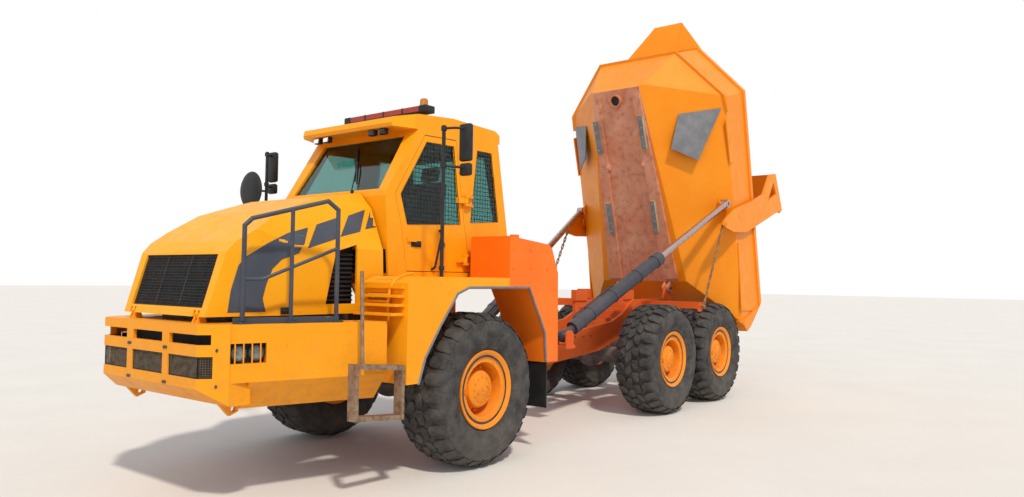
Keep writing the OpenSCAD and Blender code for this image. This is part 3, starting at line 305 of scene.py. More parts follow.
# painted highlight: a pale tan for the sunlit edges of the dark body pads
PAD_HIGHLIGHT = rubber("pad_edge_painted_highlight", "#b3a588", "#8a7d66", dusty=0.5, rough=0.7)
MESH = metal("dusty_wire_mesh", "#6d6253", "#4c3d30", rough=0.6, metallic=0.5, stained=0.6)
CHROME = metal("lamp_reflector", "#8f9296", "#5f5e5b", rough=0.3, stained=0.3)
HOIST_PAINT = enamel("graphite_enamel", "#3a3c46", "#4b4d57", dust="#7a746c", dusty=0.3, rough=0.4, chips=0.3)
BRIGHT = metal("bright_steel", "#c9c9c9", "#8c8a86", rough=0.18, stained=0.2)
GLASS = lens("tinted_glass", "#86b8b2", rough=0.02)
CLEAR = lens("lamp_glass", "#eef2f2", rough=0.04)
RED_LENS = lens("red_polycarbonate", "#b5402a", rough=0.15, through=0.3)
CLOTH = cloth("seat_cloth", "#26262a", "#3a3b40")
DECAL = enamel("printed_decal", "#454b58", "#565d69", dust="#8d8a84", dusty=0.15, rough=0.3, chips=0.5)
AMBER = lens("amber_polycarbonate", "#d9861a", rough=0.1, through=0.4)

FINISHES = {
    CAB_PAINT: ["cab_shell", "cab_roof", "cab_door", "front_fenders"],
    BONNET_PAINT: ["bonnet"],
    APRON_PAINT: ["front_apron", "front_bumper"],
    TANK_PAINT: ["side_tanks"],
    CHASSIS_PAINT: ["front_frame", "hitch", "rear_frame", "frame_brackets", "bogie_beams"],
    BED_PAINT: ["bed", "bed_fittings", "spill_guard", "tailgate"],
    DARK_PAINT: ["walkway_rail", "radiator"],
    GREY_PAINT: ["engine_block", "front_axle", "rear_axles", "steering_barrel_left", "steering_barrel_right"],
    HOIST_PAINT: ["hoist_barrel_left", "hoist_barrel_right"],
    PLATED: ["hoist_rod_left", "hoist_rod_right", "steering_rod_left", "steering_rod_right"],
    SHEET_RUBBER: ["bed_mudflaps", "bed_pads"],
    PLASTIC: ["dashboard", "steering_wheel", "front_mudflaps", "bonnet_grille"],
    GLASS: ["cab_glass", "door_glass"],
    RED_LENS: ["light_bar"],
    WORN: ["ladder"],
    CLEAR: ["work_lamps"],
}
for finish, names in FINISHES.items():
    for name in names:
        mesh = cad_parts[name].data
        mesh.materials.clear()
        mesh.materials.append(finish)


# Shapes


def new():
    """An empty shape."""
    return bmesh.new()


def bevelled(bm, verts, size):
    """Rounds the sharp edges between the given vertices."""
    chosen = set(verts)
    edges = [e for e in bm.edges if e.verts[0] in chosen and e.verts[1] in chosen
             and len(e.link_faces) == 2 and e.calc_face_angle(0) > 0.5]
    if edges and size:
        bmesh.ops.bevel(bm, geom=edges, offset=size, affect="EDGES", segments=2, profile=0.5,
                        material=-1, clamp_overlap=True)


def slab(bm, low, high, round_by=0.004, turn=None):
    """A block between two corners with its edges rounded, turned about its middle by a matrix."""
    low, high = Vector(low), Vector(high)
    size = Matrix.Diagonal((*(high - low), 1))
    place = Matrix.Translation((low + high) / 2) @ (turn or Matrix.Identity(4))
    verts = bmesh.ops.create_cube(bm, size=1, matrix=place @ size)["verts"]
    bevelled(bm, verts, round_by)


def aimed(start, end):
    """A matrix at start whose Z points to end."""
    way = Vector(end) - Vector(start)
    return Matrix.Translation(start) @ way.to_track_quat("Z", "Y").to_matrix().to_4x4()


def rod(bm, start, end, radius, sides=14, far_radius=None, round_by=0.0):
    """A round bar, or a cone if its far end has another radius."""
    length = (Vector(end) - Vector(start)).length
    verts = bmesh.ops.create_cone(
        bm, cap_ends=True, segments=sides, radius1=radius, radius2=far_radius or radius, depth=length,
        matrix=aimed(start, end) @ Matrix.Translation((0, 0, length / 2)))["verts"]
    if round_by:
        bevelled(bm, verts, round_by)


def pipe(bm, points, radius, sides=12):
    """Straight runs of bar with a ball at each bend."""
    for a, b in zip(points, points[1:]):
        rod(bm, a, b, radius, sides)
    for p in points[1:-1]:
        bmesh.ops.create_uvsphere(bm, u_segments=sides, v_segments=8, radius=radius * 1.01,
                                  matrix=Matrix.Translation(p))


def smooth_path(points, steps):
    """A rounder run of points through the given ones."""
    points = [Vector(p) for p in points]
    path = []
    for i in range(len(points) - 1):
        a, b = points[max(i - 1, 0)], points[i]
        c, d = points[i + 1], points[min(i + 2, len(points) - 1)]
        for k in range(steps):
            t = k / steps
            path.append(0.5 * ((2 * b) + (c - a) * t + (2 * a - 5 * b + 4 * c - d) * t**2
                               + (3 * b - a - 3 * c + d) * t**3))
    return path + [points[-1]]


def lathe(profile, steps=48):
    """A new shape spun about Z from a closed or open profile, with its seam and poles merged."""
    bm = new()
    verts = [bm.verts.new((r, 0, z)) for r, z in profile]
    edges = [bm.edges.new(pair) for pair in zip(verts, verts[1:])]
    bmesh.ops.spin(bm, geom=verts + edges, cent=(0, 0, 0), axis=(0, 0, 1), angle=2 * math.pi, steps=steps,
                   use_merge=True)
    bmesh.ops.remove_doubles(bm, verts=bm.verts, dist=1e-5)
    bmesh.ops.recalc_face_normals(bm, faces=bm.faces)
    return bm


def joined(bm, other, place=None):
    """Adds another shape, moved by a matrix, and frees it."""
    mesh = bpy.data.meshes.new("part")
    if place is not None:
        bmesh.ops.transform(other, matrix=place, verts=other.verts)
        if place.determinant() < 0:
            bmesh.ops.reverse_faces(other, faces=other.faces)
    other.to_mesh(mesh)
    other.free()
    bm.from_mesh(mesh)
    bpy.data.meshes.remove(mesh)


def plate(bm, outline, along, round_by=0.0):
    """A flat outline of points given a thickness along a vector."""
    face = bm.faces.new([bm.verts.new(p) for p in outline])
    made = bmesh.ops.extrude_face_region(bm, geom=[face])["geom"]
    moved = [v for v in made if isinstance(v, bmesh.types.BMVert)]
    bmesh.ops.translate(bm, verts=moved, vec=along)
    whole = moved + [v for v in face.verts]
    faces = {f for v in whole for f in v.link_faces}
    bmesh.ops.recalc_face_normals(bm, faces=list(faces))
    if round_by:
        bevelled(bm, whole, round_by)


def rim_strip(bm, outline, width, along):
    """A frame inside a flat outline, as a seal lies round a window."""
    face = bm.faces.new([bm.verts.new(p) for p in outline])
    inner = bmesh.ops.inset_region(bm, faces=[face], thickness=width, use_boundary=True,
                                   use_even_offset=True)["faces"]
    bmesh.ops.delete(bm, geom=[face], context="FACES_ONLY")
    made = bmesh.ops.extrude_face_region(bm, geom=inner)["geom"]
    bmesh.ops.translate(bm, verts=[v for v in made if isinstance(v, bmesh.types.BMVert)], vec=along)
    bmesh.ops.recalc_face_normals(bm, faces=bm.faces)


def bolts(bm, centre, axis, radius, count, size, height, start=0.0):
    """Hexagon heads in a circle round an axis, or one where the radius is 0."""
    turn = Vector(axis).to_track_quat("Z", "Y").to_matrix().to_4x4()
    for i in range(count):
        a = start + 2 * math.pi * i / count
        spot = Matrix.Translation(centre) @ turn @ Matrix.Translation(
            (radius * math.cos(a), radius * math.sin(a), height / 2))
        bmesh.ops.create_cone(bm, cap_ends=True, segments=6, radius1=size, radius2=size * 0.92, depth=height,
                              matrix=spot)


def row_of_bolts(bm, start, end, count, axis, size=0.012, height=0.008):
    """Hexagon heads in a straight row."""
    start, end = Vector(start), Vector(end)
    for i in range(count):
        bolts(bm, start.lerp(end, i / max(count - 1, 1)), axis, 0, 1, size, height)


def piece(name, bm, body, finish, stands_for=(), angle=35, place=TO_FRAME, both=False):
    """Makes a shape a piece of the truck that rides on a body. With both, it is mirrored too."""
    if both:
        bmesh.ops.mirror(bm, geom=bm.verts[:] + bm.edges[:] + bm.faces[:], matrix=Matrix.Identity(4),
                         merge_dist=-1.0, axis="Y")
    bmesh.ops.transform(bm, matrix=place, verts=bm.verts)
    mesh = bpy.data.meshes.new(name)
    bm.to_mesh(mesh)
    bm.free()
    mesh.materials.append(finish)
    mesh.shade_smooth()
    mesh.set_sharp_from_angle(angle=math.radians(angle))
    obj = bpy.data.objects.new(name, mesh)
    bpy.context.scene.collection.objects.link(obj)
    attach(obj, body)
    if stands_for:
        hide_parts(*stands_for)
    return obj


def copied(name, source, place, body, slot, stands_for=()):
    """Another piece of the same shape, put elsewhere in the frame."""
    mesh = source.data.copy()
    mesh.transform(place)
    if place.determinant() < 0:
        mesh.flip_normals()
    obj = bpy.data.objects.new(name, mesh)
    bpy.context.scene.collection.objects.link(obj)
    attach(obj, body)
    if stands_for:
        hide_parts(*stands_for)
    return obj


# Wheels

# How many times the tread's blocks repeat round a tyre
REPEATS = 28
# Sections of the tyre and the rim: radius, then outwards from the tyre's middle, in metres
TYRE_SECTION = [
    (0.3205, 0.238), (0.396, 0.239), (0.412, 0.252), (0.43, 0.262), (0.455, 0.272), (0.47, 0.283),
    (0.478, 0.283), (0.486, 0.29), (0.53, 0.296), (0.585, 0.2985), (0.60, 0.2985), (0.606, 0.295),
    (0.64, 0.294), (0.68, 0.284), (0.712, 0.262), (0.733, 0.225), (0.741, 0.15), (0.744, 0.0),
]
RIM_SECTION = [
    (0.12, 0.118), (0.12, 0.19), (0.148, 0.192), (0.178, 0.176), (0.19, 0.15), (0.194, 0.06), (0.2, 0.04),
    (0.262, 0.04), (0.268, 0.06), (0.268, 0.2), (0.272, 0.222), (0.3, 0.226), (0.33, 0.228), (0.345, 0.238),
    (0.376, 0.262), (0.388, 0.265), (0.393, 0.26), (0.393, 0.244), (0.386, 0.239), (0.317, 0.237),
    (0.317, -0.237), (0.386, -0.239), (0.39, -0.25), (0.378, -0.262), (0.3, -0.262), (0.29, -0.04),
    (0.1, -0.04), (0.1, 0.118),
]


def tread_block(bm, outline, top, foot, flare):
    """One block: an outline of (degrees round, sideways) from the tread's foot up to its top.
    A corner may have its own top radius as a third number, where the shoulder falls away."""
    ring = []
    for corner in outline:
        a, y = math.radians(corner[0]), corner[1]
        r = corner[2] if len(corner) > 2 else top
        ring.append(bm.verts.new((r * math.cos(a), r * math.sin(a), y)))
    face = bm.faces.new(ring)
    face.normal_update()
    if face.normal.dot(Vector((face.calc_center_median()[0], face.calc_center_median()[1], 0))) < 0:
        face.normal_flip()
    edges = list(face.edges)
    made = bmesh.ops.extrude_edge_only(bm, edges=edges)["geom"]
    low = [v for v in made if isinstance(v, bmesh.types.BMVert)]
    middle = sum((v.co for v in low), Vector()) / len(low)
    for v in low:
        out = Vector((v.co[0], v.co[1], 0))
        flat = v.co - middle
        grown = middle + flat * flare
        r = min(foot, out.length - 0.004)
        flat_r = Vector((grown[0], grown[1], 0)).normalized() * r
        v.co = (flat_r[0], flat_r[1], grown[2])
    bmesh.ops.bevel(bm, geom=edges, offset=0.005, affect="EDGES", segments=1, profile=0.5, material=-1)


def tyre_shape(worn):
    """A tubeless 23.5 inch rock tyre: ribbed side walls, and staggered blocks between
    shoulder lugs that point inwards. A worn one has lower blocks."""
    bm = lathe(TYRE_SECTION + [(r, -y) for r, y in reversed(TYRE_SECTION[:-1])], 4 * REPEATS)
    top = 0.768 if worn else 0.776
    foot = 0.742
    pitch = 360 / REPEATS
    one = new()
    for s in (1, -1):
        turn = 0 if s > 0 else pitch / 2
        # shoulder lug, pointed inwards, that wraps over the shoulder
        lug = [(-4.4, 0.165), (-1.2, 0.118), (2.2, 0.118), (4.4, 0.165), (4.6, 0.232, top - 0.012),
               (4.2, 0.285, top - 0.062), (-4.2, 0.285, top - 0.062), (-4.6, 0.232, top - 0.012)]
        tread_block(one, [(a + turn, y * s, *rest) for a, y, *rest in lug], top, foot, 1.04)
        # centre blocks, staggered, with slanted ends
        block = [(-4.6, 0.010), (0.4, 0.008), (3.9, 0.045), (4.7, 0.085), (1.2, 0.104), (-3.4, 0.088),
                 (-5.3, 0.05)]
        tread_block(one, [(a + turn + pitch / 4, y * s) for a, y in block], top, foot, 1.05)
        # side lugs on the wall under the shoulder
        tread_block(one, [(-3.2 + turn, s * 0.292, 0.668), (3.2 + turn, s * 0.292, 0.668),
                          (3.8 + turn, s * 0.281, 0.7), (-3.8 + turn, s * 0.281, 0.7)], top, 0.65, 1.0)
    bmesh.ops.recalc_face_normals(one, faces=one.faces)
    geometry = one.verts[:] + one.edges[:] + one.faces[:]
    bmesh.ops.spin(one, geom=geometry, cent=(0, 0, 0), axis=(0, 0, 1), angle=2 * math.pi,
                   steps=REPEATS, use_duplicate=True)
    bmesh.ops.remove_doubles(one, verts=one.verts, dist=1e-5)
    joined(bm, one)
    return bm


def rim_shape():
    """A five piece steel rim with its hub drum, wheel nuts and drain plugs."""
    bm = lathe(RIM_SECTION, 72)
    # planet carrier's cover, its bolts and plugs
    cover = lathe([(0.0, 0.214), (0.05, 0.214), (0.058, 0.208), (0.1, 0.206), (0.108, 0.2), (0.135, 0.196),
                   (0.142, 0.19), (0.142, 0.12), (0.0, 0.12)], 48)
    joined(bm, cover)
    up = (0, 0, 1)
    bolts(bm, (0, 0, 0.196), up, 0.121, 12, 0.0095, 0.012)
    bolts(bm, (0, 0, 0.206), up, 0.078, 2, 0.014, 0.014, 0.4)
    bolts(bm, (0, 0, 0.214), up, 0.0, 1, 0.02, 0.01)
    bolts(bm, (0, 0, 0.04), up, 0.232, 18, 0.016, 0.03)
    bolts(bm, (0, 0, 0.226), up, 0.301, 2, 0.012, 0.008, 1.1)
    # valve and its guard
    rod(bm, (0.31, 0.0, 0.226), (0.31, 0.0, 0.25), 0.007, 8)
    slab(bm, (0.285, -0.03, 0.226), (0.291, 0.03, 0.252), 0.002)
    return bm


def wheel_place(x, s):
    """From the tyre's own frame, whose Z points out of its side, to the truck."""
    return TO_FRAME @ Matrix.Translation((x, s * HALF_TRACK, AXLE_Z)) @ rotated(-90 * s, "X")


for axle, x in AXLES.items():
    shapes = {"tyre": tyre_shape(axle == "front"), "rim": rim_shape()}
    for what, bm in shapes.items():
        finish = TYRE if what == "tyre" else RIM_PAINT
        slot = "tyre_rubber" if what == "tyre" else "orange_enamel"
        left = piece(f"{what}_{axle}_left_shown", bm, f"wheel_{axle}_left", finish,
                     [f"{what}_{axle}_left"], place=wheel_place(x, 1))
        copied(f"{what}_{axle}_right_shown", left, MIRROR, f"wheel_{axle}_right", slot,
               [f"{what}_{axle}_right"])


# Laying things on the CAD surfaces


def skin_of(*names):
    """A tree of the nodes' surfaces, for rays to find."""
    verts, faces = [], []
    for name in names:
        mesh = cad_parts[name].data
        faces += [[i + len(verts) for i in p.vertices] for p in mesh.polygons]
        verts += [v.co.copy() for v in mesh.vertices]
    return BVHTree.FromPolygons(verts, faces)


def laid(bm, outline, skin, lift=0.002, size=0.04):
    """A skin of paint from an outline in the truck's places, cast from the photo's eye on to a surface."""
    sheet = new()
    face = sheet.faces.new([sheet.verts.new(TO_FRAME @ Vector(p)) for p in outline])
    low = [min(v.co[i] for v in face.verts) for i in range(3)]
    high = [max(v.co[i] for v in face.verts) for i in range(3)]
    for axis in (0, 2):
        for k in range(1, int((high[axis] - low[axis]) / size) + 1):
            at, way = Vector(low), Vector((0, 0, 0))
            at[axis] += k * size
            way[axis] = 1
            bmesh.ops.bisect_plane(sheet, geom=sheet.verts[:] + sheet.edges[:] + sheet.faces[:], plane_co=at,
                                   plane_no=way)
    lost = []
    for v in sheet.verts:
        spot, normal, *_ = skin.ray_cast(EYE, (v.co - EYE).normalized())
        if spot is None or abs(normal.y) < 0.15:
            lost.append(v)
        else:
            v.co = TO_FRAME.inverted() @ (spot + normal * lift * (1 if normal.dot(EYE - spot) > 0 else -1))
    bmesh.ops.delete(sheet, geom=lost, context="VERTS")
    joined(bm, sheet)


def height_of(skin, x, y, top):
    """How high a surface is at a place, looking down from top."""
    spot, *_ = skin.ray_cast(Vector((x + SHIFT, y, top)), Vector((0, 0, -1)))
    return spot.z if spot else None


def front_of(skin, y, z):
    """How far forward a surface reaches at a place."""
    spot, *_ = skin.ray_cast(Vector((9, y, z)), Vector((-1, 0, 0)))
    return spot.x - SHIFT if spot else None


def wires(bm, outline, step, radius, level, sides=5):
    """A grid of wire inside a convex outline, which level() puts in the truck's places."""
    for axis in (0, 1):
        low, high = min(p[axis] for p in outline), max(p[axis] for p in outline)
        for k in range(1, int((high - low) / step) + 1):
            at = low + k * step
            cuts = []
            for a, b in zip(outline, outline[1:] + outline[:1]):
                if (a[axis] - at) * (b[axis] - at) < 0:
                    t = (at - a[axis]) / (b[axis] - a[axis])
                    cuts.append(a[1 - axis] + t * (b[1 - axis] - a[1 - axis]))
            if len(cuts) == 2 and abs(cuts[0] - cuts[1]) > radius * 4:
                ends = [(at, c) if axis == 0 else (c, at) for c in sorted(cuts)]
                rod(bm, level(*ends[0]), level(*ends[1]), radius, sides)


# Bonnet, grille and bumper

bonnet_skin = skin_of("bonnet")
marks = new()
for outline in (
    [(2.407, 0.6, 1.545), (2.378, 0.6, 1.76), (2.311, 0.6, 1.974), (2.235, 0.6, 2.051), (2.029, 0.6, 2.172),
     (1.829, 0.6, 2.269), (1.613, 0.6, 2.331), (1.646, 0.6, 2.186), (1.707, 0.6, 2.091), (1.884, 0.6, 2.032),
     (1.979, 0.6, 1.947), (2.038, 0.6, 1.81), (2.07, 0.6, 1.691), (2.026, 0.6, 1.537)],
    [(1.519, 0.6, 2.364), (1.245, 0.6, 2.457), (1.298, 0.6, 2.239), (1.612, 0.6, 2.139)],
    [(1.149, 0.6, 2.473), (0.941, 0.6, 2.547), (0.997, 0.6, 2.327), (1.239, 0.6, 2.264)],
    [(0.865, 0.6, 2.576), (0.714, 0.6, 2.615), (0.782, 0.6, 2.386), (0.935, 0.6, 2.353)],
):
    laid(marks, outline, bonnet_skin)
piece("bonnet_marks", marks, "bonnet_cover", DECAL, both=True)

louvres_and_shade_sheet = new()
for k in range(11):
    z = 1.68 + k * 0.042
    far = 1.532 - max(0, z - 1.64) * 0.229
    slab(louvres_and_shade_sheet, (1.185, 0.69, z - 0.003), (far, 0.735, z + 0.003), 0.001, rotated(-35, "X"))
# a black sheet behind the slats: painted shade for the vent's dark recess
slab(louvres_and_shade_sheet, (1.14, 0.655, 1.62), (1.57, 0.661, 2.2), 0.002)
piece("bonnet_louvres", louvres_and_shade_sheet, "bonnet_cover", PLASTIC, both=True)

handles = new()
for x, y in ((1.95, 0.74), (1.05, 0.76)):
    spot, normal, *_ = bonnet_skin.ray_cast(Vector((x + SHIFT, 3, 1.6)), Vector((0, -1, 0)))
    y = spot.y if spot else y
    slab(handles, (x - 0.06, y - 0.001, 1.56), (x + 0.06, y + 0.006, 1.62), 0.003)
    bow = [(x - 0.04, y), (x - 0.04, y + 0.03), (x + 0.04, y + 0.03), (x + 0.04, y)]
    pipe(handles, [(*point, 1.59) for point in bow], 0.007, 8)
piece("bonnet_latches", handles, "bonnet_cover", PLASTIC, both=True)


def grille_plane(y, z):
    """A place on the leaning plane of the grille."""
    return Vector((2.606 - (z - 1.6) * 0.2872, y, z))


mesh_shape = new()
wires(mesh_shape, [(-0.57, 1.63), (0.57, 1.63), (0.57, 2.05), (-0.57, 2.05)], 0.024, 0.0035, grille_plane)
for y in (-0.19, 0.19):
    rod(mesh_shape, grille_plane(y, 1.64), grille_plane(y, 2.05), 0.008, 8)
piece("grille_mesh", mesh_shape, "bonnet_cover", PLASTIC)

bumper_skin = skin_of("front_bumper")
screens, frames_and_shade_sheets = new(), new()
for y in (-0.59, 0.0, 0.59):
    top_x = front_of(bumper_skin, 0.29, 1.3)
    low_x = front_of(bumper_skin, 0.29, 1.03)

    def slot_plane(side, z, top_x=top_x, low_x=low_x):
        x = low_x + (top_x - low_x) * (z - 1.03) / 0.27 - 0.014
        return Vector((x - max(0, abs(side) - 0.76) * 1.156, side, z))

    spans = [(y - 0.248, y + 0.248)] if y == 0 else [(0.342, 0.76), (0.76, 0.838)]
    for a, b in spans:
        if y < 0:
            a, b = -b, -a
        wires(screens, [(a, 1.082), (b, 1.082), (b, 1.248), (a, 1.248)], 0.013, 0.0024, slot_plane, 4)
        for z in (1.086, 1.244):
            rod(frames_and_shade_sheets, slot_plane(a, z), slot_plane(b, z), 0.005, 8)
        for side in (a, b):
            rod(frames_and_shade_sheets, slot_plane(side, 1.086), slot_plane(side, 1.244), 0.005, 8)
# two black sheets behind the slots: painted shade for the dark inside of the bumper
slab(frames_and_shade_sheets, (2.5, -0.86, 1.3), (2.51, 0.86, 1.46), 0.002)
slab(frames_and_shade_sheets, (2.46, -0.85, 1.02), (2.47, 0.85, 1.29), 0.002)
piece("bumper_screens", screens, "front_unit", MESH)
piece("bumper_frames", frames_and_shade_sheets, "front_unit", PLASTIC)

fixings = new()
for y in [-0.86, -0.31, -0.28, 0.28, 0.31, 0.86]:
    for z in (1.3, 1.02):
        x = front_of(bumper_skin, y, z)
        if x:
            bolts(fixings, (x - 0.001, y, z), (1, 0, 0.15), 0, 1, 0.014, 0.01)
rail_skin = skin_of("front_apron", "front_bumper")
for x, y in ((2.45, 0.89), (2.08, 1.01), (1.70, 1.125)):
    z = height_of(rail_skin, x, y, 1.6) or 1.5
    slab(fixings, (x - 0.045, y - 0.045, z), (x + 0.045, y + 0.045, z + 0.012), 0.003)
    for dx in (-0.032, 0.032):
        for dy in (-0.032, 0.032):
            bolts(fixings, (x + dx, y + dy, z + 0.012), (0, 0, 1), 0, 1, 0.008, 0.008)
piece("front_fixings", fixings, "front_unit", DARK_PAINT)

# Headlights, in the frame of the apron's side: X along it, Y outwards

SIDE = Matrix.Translation((1.28, 1.31, 0)) @ Matrix.Rotation(math.atan2(-0.41, 1.34), 4, "Z")
case, bowls, glasses = new(), new(), new()
slab(case, (1.063, -0.069, 1.193), (1.342, -0.052, 1.347), 0.003)
for x in (1.133, 1.272):
    out = Matrix.Translation((x, -0.05, 1.27)) @ rotated(-90, "X")
    joined(case, lathe([(0.068, 0.0), (0.068, 0.03), (0.064, 0.034), (0.06, 0.034), (0.06, 0.0)], 36), out)
    joined(bowls, lathe([(0.0, 0.002), (0.02, 0.003), (0.04, 0.01), (0.059, 0.028), (0.0595, 0.03)], 36), out)
    joined(bowls, lathe([(0.0, 0.022), (0.008, 0.02), (0.009, 0.003), (0.0, 0.003)], 16), out)
    joined(glasses, lathe([(0.0, 0.037), (0.03, 0.0355), (0.05, 0.033), (0.0595, 0.03), (0.0595, 0.028),
                           (0.03, 0.032), (0.0, 0.034)], 36), out)
piece("headlight_cases", case, "front_unit", PLASTIC, place=TO_FRAME @ SIDE)
piece("headlight_bowls", bowls, "front_unit", CHROME, ["headlights"], place=TO_FRAME @ SIDE)
piece("headlight_glasses", glasses, "front_unit", CLEAR, place=TO_FRAME @ SIDE)
for name in ("headlight_cases", "headlight_bowls", "headlight_glasses"):
    copied(name + "_right", bpy.data.objects[name], MIRROR, "front_unit",
           "black_plastic" if "cases" in name else "lamp_lens")

# Steps, fenders and tanks

steps, treads = new(), new()
for k, (x, z) in enumerate(((1.2, 1.67), (1.18, 1.73), (1.15, 1.79), (1.11, 1.85))):
    slab(steps, (x - 0.22, 0.94, z - 0.012), (x, 1.21, z + 0.014), 0.005)
    slab(treads, (x - 0.2, 0.95, z + 0.0135), (x - 0.012, 1.2, z + 0.019), 0.002)
for y in (0.935, 1.205):
    cheek = [(1.19, y, 1.62), (1.205, y, 1.66), (1.11, y, 1.87), (1.0, y, 1.87), (1.0, y, 1.62)]
    plate(steps, cheek, (0, 0.01, 0), 0.002)
pipe(steps, smooth_path([(1.2, 1.235, 1.5), (1.2, 1.235, 1.7), (1.16, 1.235, 1.83), (1.05, 1.235, 1.9),
                         (0.9, 1.235, 1.93)], 5), 0.013, 10)
piece("cab_steps", steps, "front_unit", CAB_PAINT, both=True)
piece("cab_step_treads", treads, "front_unit", SHEET_RUBBER, both=True)

lips = new()
arch = [(1.01, 0.93), (0.93, 1.16), (0.73, 1.45), (0.5, 1.74), (0.33, 1.8), (-0.3, 1.8)]
pipe(lips, [(x, 1.437, z) for x, z in arch], 0.014, 8)
pipe(lips, [(x, 1.437, z) for x, z in [(-0.3, 1.8), (-0.64, 1.8), (-0.94, 1.31), (-0.97, 0.99)]], 0.014, 8)
piece("arch_lips", lips, "front_unit", SHEET_RUBBER, both=True)

trim = new()
lid = [(-0.31, 1.43, 2.331), (-0.31, 0.91, 2.331), (-0.99, 0.91, 2.272), (-0.99, 1.43, 2.272)]
plate(trim, lid, (0, 0, 0.006), 0.002)
joined(trim, lathe([(0.0, 0.05), (0.045, 0.05), (0.05, 0.045), (0.05, 0.012), (0.06, 0.01), (0.06, 0.0)], 28),
       Matrix.Translation((-0.55, 1.3, 2.315)))
for x in (-0.36, -0.66, -0.96):
    for z in (2.2, 2.0):
        bolts(trim, (x, 1.44, z), (0, 1, 0), 0, 1, 0.013, 0.009)
piece("tank_trim", trim, "front_unit", TANK_PAINT, both=True)

# Cab

DOOR_WINDOW = [(0.56, 2.42), (0.655, 2.72), (0.3, 3.29), (-0.11, 3.3), (-0.235, 2.47)]
SIDE_WINDOW = [(-0.5, 3.31), (-0.74, 3.31), (-0.88, 2.54), (-0.4, 2.5)]


def side_face(y):
    """A function that puts (x, z) on the cab's side."""
    return lambda x, z: Vector((x, y, z))


def front_face(y, z):
    """A place on the leaning windscreen."""
    return Vector((0.836 - (z - 2.72) * 0.6545 + 0.004, y, z))


def back_face(y, z):
    """A place on the leaning rear window."""
    return Vector((-1.06 + (z - 2.38) * 0.1887 - 0.003, y, z))


def seal(name, outline, level, out, body):
    """A rubber seal round a window."""
    bm = new()
    rim_strip(bm, [level(*p) for p in outline], 0.022, out)
    piece(name, bm, body, SEAL)


def grid(name, outline, level, body):
    """A wire guard over a window."""
    bm = new()
    wires(bm, outline, 0.045, 0.0032, level)
    piece(name, bm, body, SEAL)


seal("door_window_seal", DOOR_WINDOW, side_face(0.797), (0, 0.007, 0), "door")
grid("door_window_guard", DOOR_WINDOW, side_face(0.788), "door")
for s in SIDES.values():
    tag = "left" if s > 0 else "right"
    seal(f"rear_side_seal_{tag}", SIDE_WINDOW, side_face(0.8 * s), (0, 0.006 * s, 0), "front_unit")
    grid(f"rear_side_guard_{tag}", SIDE_WINDOW, side_face(0.796 * s), "front_unit")
seal("right_window_seal", DOOR_WINDOW, side_face(-0.8), (0, -0.006, 0), "front_unit")
seal("windscreen_seal", [(-0.68, 2.76), (0.68, 2.76), (0.64, 3.34), (-0.64, 3.34)], front_face,
     (0.005, 0, 0.003), "front_unit")
seal("rear_window_seal", [(-0.64, 2.52), (0.64, 2.52), (0.6, 3.3), (-0.6, 3.3)], back_face,
     (-0.006, 0, 0), "front_unit")

wiper = new()
pivot = front_face(0.3, 2.735)
arm = [pivot + Vector((0.03, 0, 0.02)), front_face(0.16, 3.0) + Vector((0.028, 0, 0.018)),
       front_face(0.1, 3.09) + Vector((0.012, 0, 0.008))]
blade = [front_face(y, z) + Vector((0.01, 0, 0.006)) for y, z in ((0.23, 2.86), (-0.06, 3.28))]
rod(wiper, pivot, arm[0], 0.018, 12)
pipe(wiper, arm, 0.007, 8)
rod(wiper, *blade, 0.008, 6)
piece("wiper", wiper, "front_unit", PLASTIC)

grabs = new()
pipe(grabs, [(0.09, 0.8, 2.385), (0.1, 0.85, 2.36), (0.2, 0.85, 2.0), (0.2, 0.8, 1.975)], 0.012, 10)
slab(grabs, (0.36, 0.797, 2.2), (0.5, 0.806, 2.26), 0.003)
slab(grabs, (0.38, 0.804, 2.22), (0.48, 0.828, 2.238), 0.004)
piece("door_handles", grabs, "door", PLASTIC)

vents = new()
for k in range(9):
    z = 1.99 + k * 0.042
    slab(vents, (-1.0, 0.795, z), (-0.5, 0.808, z + 0.02), 0.003, rotated(25, "X"))
piece("cab_vents", vents, "front_unit", PLASTIC, both=True)

roof = new()
for y in (-0.6, -0.3, 0.0, 0.3, 0.6):
    bolts(roof, (0.688, y, 3.42), (1, 0, 0.2), 0, 1, 0.009, 0.006)
slab(roof, (-0.62, -0.35, 3.55), (-0.2, 0.35, 3.6), 0.02)
piece("roof_fittings", roof, "front_unit", CAB_PAINT)
bar = new()
for s in SIDES.values():
    slab(bar, (0.035, 0.6 * s - 0.055, 3.65), (0.185, 0.6 * s + 0.055, 3.726), 0.012)
slab(bar, (0.036, -0.65, 3.648), (0.184, 0.65, 3.664), 0.004)
for y in (-0.3, 0.0, 0.3):
    slab(bar, (0.037, y - 0.012, 3.655), (0.183, y + 0.012, 3.7235), 0.003)
piece("light_bar_casing", bar, "front_unit", PLASTIC)
beacon = lathe([(0.0, 0.085), (0.03, 0.083), (0.042, 0.07), (0.046, 0.01), (0.05, 0.0), (0.0, 0.0)], 24)
piece("beacon", beacon, "front_unit", AMBER,
      place=TO_FRAME @ Matrix.Translation((0.11, 0.56, 3.724)))
lamps, faces = new(), new()
for y in (0.52, 0.36):
    slab(lamps, (0.62, y - 0.05, 3.34), (0.672, y + 0.05, 3.403), 0.01)
    slab(faces, (0.668, y - 0.042, 3.347), (0.68, y + 0.042, 3.396), 0.004)
    rod(lamps, (0.645, y, 3.4), (0.645, y, 3.43), 0.01, 8)
piece("work_lamp_cases", lamps, "front_unit", PLASTIC, both=True)
piece("work_lamp_glasses", faces, "front_unit", CLEAR, ["work_lamps"], both=True)

